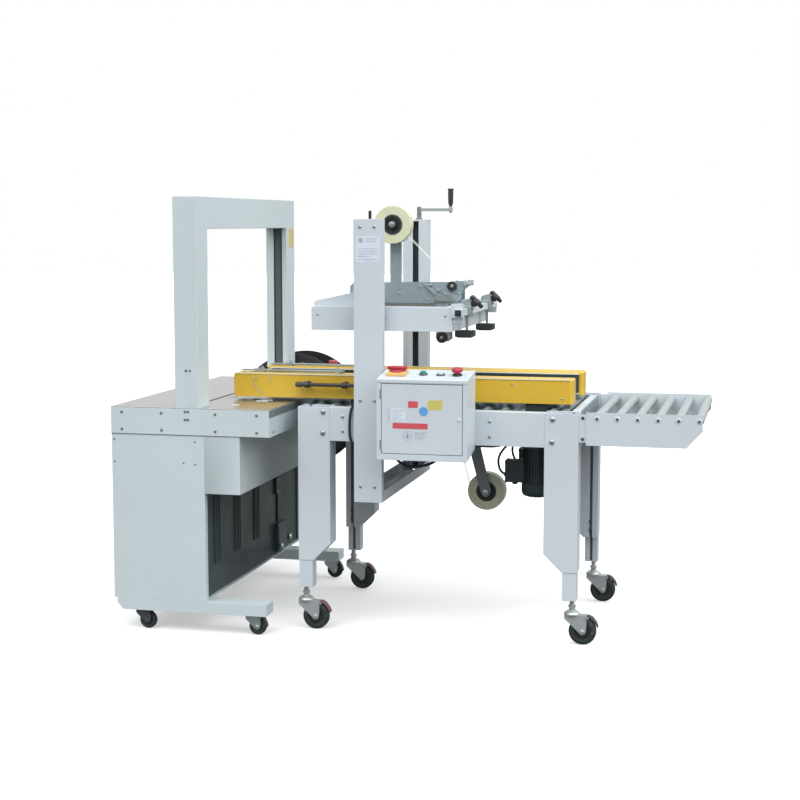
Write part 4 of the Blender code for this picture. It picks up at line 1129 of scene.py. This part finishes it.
def build_switches():
    seat = on_lid(390)
    bm = bmesh.new()
    verts = block(bm, seat - Vector((33, 33, 0)), seat + Vector((33, 33, 12)))
    turn(verts, bm, seat, LID_SLOPE, "X")
    piece("main_switch_base", bm, "orange_plastic", ROOT, 2.5)
    bm = bmesh.new()
    lathe(bm, [(0, 12.3), (27, 12.3), (27, 16), (24, 19), (0, 19)], seat, LID_UP, 40)
    outline = [(-36, 0), (-33, 9), (-20, 13), (20, 13), (33, 9), (36, 0), (33, -9), (20, -13),
               (-20, -13), (-33, -9)]
    verts = prism(bm, [(seat.x + u, seat.y + v) for u, v in outline], "Z", seat.z + 18, seat.z + 29)
    turn(verts, bm, seat, LID_SLOPE, "X")
    piece("main_switch_handle", bm, "red_plastic", BODY_OF["main_switch"], 2.0, ("main_switch",))
    bm = bmesh.new()
    for x in (483, 545):
        lathe(bm, [(11.6, 0), (15.5, 0), (15.5, 3), (14, 5.5), (11.6, 5.5)], on_lid(x), LID_UP, 36)
    piece("button_bezels", bm, "dark_steel", ROOT)
    for node, x, material in (("start_button", 483, "green_plastic"), ("stop_button", 545, "white_plastic")):
        bm = bmesh.new()
        profile = [(0, -8), (10.8, -8), (10.8, 11), (9.8, 13.2), (7.5, 13.8), (6, 12.6), (0, 12.2)]
        lathe(bm, profile, on_lid(x), LID_UP, 32)
        piece(f"{node}_cap", bm, material, BODY_OF[node], stands_for=(node,))
    bm = bmesh.new()
    lathe(bm, [(9.4, 0), (17, 0), (17, 4), (15.5, 6), (9.4, 6)], on_lid(604), LID_UP, 36)
    piece("estop_collar", bm, "black_plastic", ROOT)
    mushroom("sealer_estop_button", on_lid(604), LID_UP, 19.5)


def mushroom(node, seat, axis, radius):
    """A mushroom button on its stem, with the shallow dish of a twist-release head."""
    bm = bmesh.new()
    profile = [(0, -9), (8.8, -9), (8.8, 13), (radius - 2.5, 13.5), (radius, 15), (radius, 23),
               (radius - 1.5, 25.5), (radius - 4, 27), (radius * 0.45, 28.2), (radius * 0.3, 27.4), (0, 27.2)]
    lathe(bm, profile, seat, axis, 40)
    piece(f"{node}_head", bm, "red_plastic", BODY_OF[node], stands_for=(node,), sharp=50)


def build_extension():
    dressed("extension_frame", "sealer_paint", 0.9)
    centres = [1084 + 70 * step for step in range(6)]
    ends = [(x, y, direction) for x in centres for y, direction in ((0, NEAR), (705, FAR))]
    bm = bmesh.new()
    for x, y, direction in ends:
        lathe(bm, [(0, 0), (10, 0), (10, 0.8), (9.4, 1.2), (0, 1.2)], (x, y, 811), direction, 24)
    piece("extension_washers", bm, "sealer_paint", ROOT)
    bm = bmesh.new()
    for x, z in ((1034, 812), (1034, 738)):
        screw(bm, (x, 3, z), NEAR, 6.0)
        screw(bm, (x, 702, z), FAR, 6.0)
    for x, y, direction in ends:
        screw(bm, (x, y + direction[1] * 1.2, 811), direction, 5.0)
    piece("extension_screws", bm, "dark_steel", ROOT, sharp=50)
    for step, x in enumerate(centres, 1):
        node = f"extension_roller_{step}"
        bm = bmesh.new()
        near_half = [(0, -351.5), (5.6, -351.5), (5.6, -343), (9, -343), (9, -344.5), (13.5, -344.5),
                     (15.2, -343.5), (16, -341)]
        lathe(bm, mirrored(near_half), (x, 352.5, 811), FAR, 40)
        piece(f"{node}_tube", bm, "roller_steel", BODY_OF[node], stands_for=(node,))
        bm = bmesh.new()
        for y, direction in ((8.6, NEAR), (696.4, FAR)):
            lathe(bm, [(5.8, 0), (13, 0), (13, 1.0), (11, 1.6), (5.8, 1.6)], (x, y, 811), direction, 32)
        piece(f"{node}_bearings", bm, "dark_steel", BODY_OF[node])


# ---------------------------------------------------------------- strapper

TABLE = {"left": -667.0, "right": -65.0, "near": -141.0, "far": 1041.0, "top": 826.0}


def build_strapper_frame():
    dressed("strapper_base", "strapper_paint", 2.0)
    dressed("strapper_cabinet", "strapper_paint", 1.5)
    dressed("table_frame", "strapper_paint", 1.2)
    dressed("table_flap_left", "stainless_steel", 0.7)
    dressed("table_plate_right", "stainless_steel", 0.7)
    bm = bmesh.new()
    for z in (806, 744):
        for x in (-624, -471, -266, -110):
            screw(bm, (x, TABLE["near"], z), NEAR, 5.2)
            screw(bm, (x, TABLE["far"], z), FAR, 5.2)
        for y in (-90, 200, 560, 960):
            screw(bm, (TABLE["left"], y, z), LEFT, 5.2)
            screw(bm, (TABLE["right"], y, z), RIGHT, 5.2)
    for x, z in ((-368, 813), (-369, 784), (-380, 813), (-380, 784)):
        screw(bm, (x, TABLE["near"], z), NEAR, 5.0)
    for x, z in ((-655, 706), (-655, 624), (-345, 704), (-389, 626), (-345, 622)):
        screw(bm, (x, -139, z), NEAR, 3.4)
    piece("table_skirt_screws", bm, "grey_strut", ROOT, sharp=50)
    blocks("cabinet_seams", ROOT, "dark_steel", 0, [
        ((-667.2, 380, 119), (-667, 381.4, 724)),
        ((-665, -141.4, 726.5), (-66, -141, 728)),
    ])
    blocks("skirt_edge_strip", ROOT, "grey_strut", 0.6, [((-66, -137, 796), (-64.2, 1037, 822))])
    flap_places = ((-617, 210), (-474, 433), (-488, 590), (-617, -100), (-617, 1000), (-440, -100))
    plate_places = ((-110, 200), (-300, 300), (-300, 560), (-110, 700), (-110, 1000), (-300, 860))
    for node, places in (("table_flap_left", flap_places), ("table_plate_right", plate_places)):
        bm = bmesh.new()
        for x, y in places:
            lathe(bm, [(0, 0), (6, 0), (5.2, 0.7), (3, 0.9), (3, 0.5), (0, 0.5)], (x, y, 826), UP, 24)
        piece(f"{node}_screws", bm, "zinc", BODY_OF[node])
    bm = bmesh.new()
    large, small = (22, 8), (14, 7)
    for x, y, (half_x, half_y) in ((-181, 135, large), (-170, 172, large), (-221, 196, small),
                                   (-232, -13, small), (-330, 250, small), (-330, 520, small)):
        prism(bm, rounded((x - half_x, y - half_y), (x + half_x, y + half_y), 4), "Z", 826, 828.5)
    piece("table_top_pads", bm, "white_plastic", ROOT, 0.6)
    # The strap slot's inner walls are dark grey as painted shade inside the narrow slot.
    blocks("strap_slot_shade_lips", ROOT, "slot_shade_and_seal_dark", 0, [
        ((-378.8, -28, 806), (-375, 926, 825.2)),
        ((-371, -28, 806), (-367.2, 926, 825.2)),
    ])
    build_cabinet_panel()
    dressed("strapping_head", "dark_steel", 1.2)


def build_cabinet_panel():
    """The dark inner face, with painted shade in its open rear bay, the limit switch box and its two knobs.
    """
    dressed("cabinet_side_panel", "charcoal_paint", 1.0)
    # The near-black sheet at the back of the open rear bay is painted shade for its hollow; the posts at the
    # bay's two sides are black parts.
    bm = bmesh.new()
    block(bm, (-322.8, 742, 128), (-320.5, 1018, 714))
    for y in (742, 1012):
        block(bm, (-322.8, y, 128), (-316, y + 6, 714))
    piece("cabinet_rear_bay_and_shade", bm, "motor_black", ROOT, 0.8)
    blocks("cabinet_switch_covers", ROOT, "charcoal_paint", 1.2, [
        ((-303.2, 712, 146), (-301, 818, 240)),
        ((-322.8, 716, 372), (-312, 734, 440)),
    ])
    bm = bmesh.new()
    for place in ((-301, 722, 154), (-321, 902, 160)):
        lathe(bm, [(0, 0), (10, 0), (13, 3), (13, 10), (9, 14), (0, 14)], place, RIGHT, 20)
    for z in (382, 430):
        lathe(bm, [(0, 0), (5, 0), (5, 3), (3.5, 4), (0, 4)], (-312, 725, z), RIGHT, 16)
    piece("cabinet_knobs", bm, "zinc", ROOT)


def build_arch():
    dressed("arch", "strapper_paint", 2.5)
    blocks("arch_cover_strip", ROOT, "strapper_paint", 0.3, [((-368, -139.8, 830), (-342, -139.1, 1576))])
    # A dark sheet at the back of the arch's strap track: painted shade inside the channel.
    blocks("arch_track_shade_liner", ROOT, "slot_shade_and_seal_dark", 0, [
        ((-384, -35.5, 860), (-350, -33, 1470)),
        ((-384, 935, 860), (-350, 937.5, 1470)),
        ((-384, -35, 1472), (-350, 937, 1474.5)),
    ])
    bm = bmesh.new()
    for x in (-383.5, -352.5):
        block(bm, (x, -33, 862), (x + 2, -28.5, 1466))
        block(bm, (x, 930.5, 862), (x + 2, 935, 1466))
        block(bm, (x, -30, 1467.5), (x + 2, 932, 1472))
    piece("arch_track_guides", bm, "grip_plastic", ROOT, 0.4)
    bm = bmesh.new()
    for x, z in ((-375, 961), (-360, 961)):
        screw(bm, (x, -139.8, z), NEAR, 4.0)
    for z in (900, 1200, 1540):
        for x in (-404, -340):
            screw(bm, (x, 1041, z), FAR, 4.0)
    piece("arch_screws", bm, "dark_steel", ROOT, sharp=50)
    bm = bmesh.new()
    prism(bm, rounded((964, 1386), (1026, 1464), 4), "X", -328, -327.4)
    piece("arch_label", bm, "label_yellow", ROOT)
    bm = bmesh.new()
    for z, low, high in ((1452, 972, 1018), (1440, 972, 1010), (1428, 972, 1016), (1400, 972, 1004)):
        block(bm, (-327.5, low, z - 1.4), (-327.2, high, z + 1.4))
    piece("arch_label_lines", bm, "label_ink", ROOT)


def build_strapper_switch():
    bm = bmesh.new()
    x, y = -136.0, 965.0
    prism(bm, rounded((x - 34, y - 37), (x + 34, y + 37), 5), "Z", 826.5, 885)
    piece("strapper_switch_box", bm, "black_plastic", ROOT, 1.5)
    mushroom("strapper_estop_button", Vector((x, y, 884)), Vector(UP), 20.0)
    bm = bmesh.new()
    lathe(bm, [(9.4, 0), (19, 0), (19, 3), (16, 5), (9.4, 5)], (x, y, 885), UP, 36)
    piece("strapper_estop_ring", bm, "label_yellow", ROOT)
    bm = bmesh.new()
    tube(bm, smooth_path([(-136, 1001, 850), (-136, 1030, 848), (-134, 1052, 820), (-140, 1056, 740)]), 4.5)
    piece("strapper_switch_cable", bm, "cable_black", ROOT)


def build_reel():
    """Two open steel flanges, the wound strap between them and the spindle's hub."""
    body = BODY_OF["strap_reel"]
    centre = (-337, 0, 678)
    for name, low in (("near", 1058.0), ("far", 1242.0)):
        bm = bmesh.new()
        lathe(bm, [(20.4, low), (74, low), (74, low + 4), (20.4, low + 4)], centre, FAR, 48)
        rim = [(196, low), (249, low), (250, low + 1), (250, low + 3), (249, low + 4), (196, low + 4)]
        lathe(bm, rim, centre, FAR, 80)
        lathe(bm, [(138, low + 0.6), (148, low + 0.6), (148, low + 3.4), (138, low + 3.4)], centre, FAR, 64)
        for step in range(8):
            verts = block(bm, (centre[0] + 70, low + 0.8, centre[2] - 17),
                          (centre[0] + 200, low + 3.2, centre[2] + 17))
            turn(verts, bm, (centre[0], low, centre[2]), 2 * pi * step / 8, "Y")
        stands_for = ("strap_reel",) if name == "near" else ()
        piece(f"reel_flange_{name}", bm, "black_plastic", body, stands_for=stands_for)
    bm = bmesh.new()
    far_face = [(100 + step * 7, 1239 - (1.2 if step % 2 else 0)) for step in range(16)]
    near_face = [(radius, 1062 + 1239 - depth) for radius, depth in far_face]
    ridges = [(211 + (1.4 if step % 2 else 0), 1063 + step * 176 / 22) for step in range(1, 22)]
    profile = [(98, 1063), *near_face, (211, 1063), *ridges, (211, 1239), *reversed(far_face), (98, 1239)]
    lathe(bm, profile, centre, FAR, 80)
    piece("reel_strap", bm, "strap_plastic", body, sharp=60)
    bm = bmesh.new()
    lathe(bm, [(20.4, 1062), (97, 1062), (97, 1241), (20.4, 1241)], centre, FAR, 48)
    piece("reel_hub", bm, "grip_plastic", body)
    bm = bmesh.new()
    lathe(bm, [(0, 1254), (12, 1254), (12, 1262), (0, 1264)], centre, FAR, 6)
    piece("reel_spindle_end", bm, "zinc", ROOT)


# ---------------------------------------------------------------- casters

def build_caster(prefix, sizes, brake, metal):
    """A swivel fork on its ball races, the tyred wheel and, where there is one, its brake pedal."""
    wheel, width, trail, head, top = sizes  # wheel radius and width, trail, race radius, stem top
    fork, tyre = f"{prefix}_fork", f"{prefix}_wheel"
    low, high = span(tyre)
    axle = (low + high) / 2
    y, stem_x, plate = axle.y, axle.x - trail, 2 * wheel + 4
    half = width / 2
    body = BODY_OF[fork]
    bm = bmesh.new()
    race = [(0, plate + 3), (head, plate + 3)]
    if top > plate + 25:
        race += [(head + 1, plate + 5), (head + 1, plate + 8), (head - 2, plate + 13), (head - 8, plate + 17),
                 (head - 14, plate + 19), (11, plate + 20), (11, plate + 27), (8, plate + 28), (8, top)]
        nut = [(8, plate + 30), (13.5, plate + 30), (13.5, plate + 38), (12, plate + 39), (8, plate + 39)]
        lathe(bm, nut, (stem_x, y, 0), UP, 6)
        for step in range(5):
            z = plate + 40 + step * 3
            if z + 2 < top:
                lathe(bm, [(7.8, z), (8.8, z + 0.8), (8.8, z + 1.2), (7.8, z + 2)], (stem_x, y, 0), UP, 20)
    else:
        race += [(head + 0.8, plate + 5), (head - 1.5, top), (head + 0.4, top), (head - 2, top)]
    lathe(bm, race + [(0, top)], (stem_x, y, 0), UP, 40)
    front, back = stem_x - head + 2, axle.x + wheel * 0.3
    crown = [(front, plate + 0.4), (front, plate + 3), (back, plate + 3), (back, plate + 0.4)]
    prism(bm, crown, "Y", y - half - 5, y + half + 5)
    cheek = [(front, plate + 1), (back, plate + 1), (back + 1, plate - 5), (axle.x + 15, wheel + 14),
             (axle.x + 13, wheel - 2)]
    cheek += arc((axle.x, wheel), 12.5, -8, -165, 8) + [(front + 3, plate - 12), (front, plate - 7)]
    for inner, outer in ((half + 2, half + 4.6), (-half - 4.6, -half - 2)):
        prism(bm, cheek, "Y", y + inner, y + outer)
    for direction, side in ((NEAR, -1), (FAR, 1)):
        hexagon(bm, (axle.x, y + side * (half + 4.6), wheel), direction, 8.2, 5)
        tip = (axle.x, y + side * (half + 9.6), wheel)
        lathe(bm, [(0, 0), (4, 0), (4, 3), (3, 4), (0, 4)], tip, direction, 16)
    rod(bm, 4.8, (axle.x, y - half - 4, wheel), (axle.x, y + half + 4, wheel), 16)
    piece(f"{fork}_body", bm, metal, body, 0.5, (fork,), sharp=45)

    bm = bmesh.new()
    near_half = [(wheel * 0.62, -half + 1.5), (wheel * 0.70, -half + 0.6), (wheel - 5, -half),
                 (wheel - 1.6, -half + 3), (wheel, -half + 7)]
    lathe(bm, mirrored(near_half), axle, FAR, 56)
    piece(f"{tyre}_tyre", bm, "wheel_rubber", BODY_OF[tyre], stands_for=(tyre,), sharp=60)
    bm = bmesh.new()
    web = half - 5
    near_half = [(5.3, -half - 1.4), (11, -half - 1.4), (13, -half), (14, -web), (wheel * 0.5, -web),
                 (wheel * 0.53, -half + 1), (wheel * 0.615, -half + 1)]
    lathe(bm, mirrored(near_half), axle, FAR, 48)
    piece(f"{tyre}_hub", bm, "black_plastic", BODY_OF[tyre], sharp=45)
    if brake:
        build_brake(fork, axle, wheel, half, plate, brake)


def build_brake(fork, axle, wheel, half, plate, material):
    """A foot pedal on a cross pin at the back of the fork, with its shoe over the tyre."""
    body = BODY_OF[fork]
    pin_x, pin_z = axle.x + wheel * 0.36, plate - 4
    bm = bmesh.new()
    reach = wheel * 0.92
    upper = [(pin_x - 6, pin_z + 6), (pin_x + 5, pin_z + 8), (pin_x + reach * 0.42, pin_z + 1),
             (pin_x + reach * 0.72, pin_z - 16), (pin_x + reach * 0.86, pin_z - 32)]
    under = [(pin_x + reach * 0.80, pin_z - 36), (pin_x + reach * 0.62, pin_z - 22),
             (pin_x + reach * 0.34, pin_z - 6), (pin_x + 2, pin_z - 1), (pin_x - 6, pin_z)]
    prism(bm, upper + under, "Y", axle.y - half + 1, axle.y + half - 1)
    piece(f"{fork}_pedal", bm, material, body, 2.2)
    bm = bmesh.new()
    rod(bm, 3.2, (pin_x, axle.y - half - 7, pin_z), (pin_x, axle.y + half + 7, pin_z), 14)
    for side, direction in ((-1, NEAR), (1, FAR)):
        hexagon(bm, (pin_x, axle.y + side * (half + 4.6), pin_z), direction, 5.5, 3.5)
    piece(f"{fork}_pedal_pin", bm, "zinc", body)


# ---------------------------------------------------------------- the line

def build_sealer():
    build_bed()
    build_carton_rollers()
    build_column_fittings()
    build_crank()
    build_head()
    build_upper_tape_head()
    build_tape_roll("upper_tape_roll", (270.0, 1481.0), False)
    build_tape_roll("lower_tape_roll", (633.0, 482.0), True)
    tape_web("upper_tape_web", BODY_OF["upper_tape_head"],
             [(327, 1438), (390, 1376), (460, 1310), (508, 1268)])
    tape_web("lower_tape_web", ROOT, [(566, 505), (541, 600), (520, 660), (509, 694)])
    build_presser("presser_front", 150.0)
    build_presser("presser_rear", 558.0)
    for side in ("front", "rear"):
        build_belt_unit(side)
        build_motor(side)
    build_lower_tape_head()
    build_bed_wiring()
    build_control_box()
    build_extension()
    for end, brake in (("left", "pedal_plastic"), ("right", "grip_plastic")):
        for side in ("front", "rear"):
            build_caster(f"sealer_{side}_{end}", (49.0, 28.0, 38.0, 28.0, 159.7), brake, "roller_steel")


def build_strapper():
    build_strapper_frame()
    build_arch()
    build_strapper_switch()
    build_reel()
    for end, brake, metal in (("left", None, "dark_steel"), ("right", "grip_plastic", "zinc")):
        for side in ("front", "rear"):
            build_caster(f"strapper_{side}_{end}", (32.0, 24.0, 25.0, 20.0, 74.7), brake, metal)


make_camera()
make_materials()
make_studio()
build_sealer()
build_strapper()
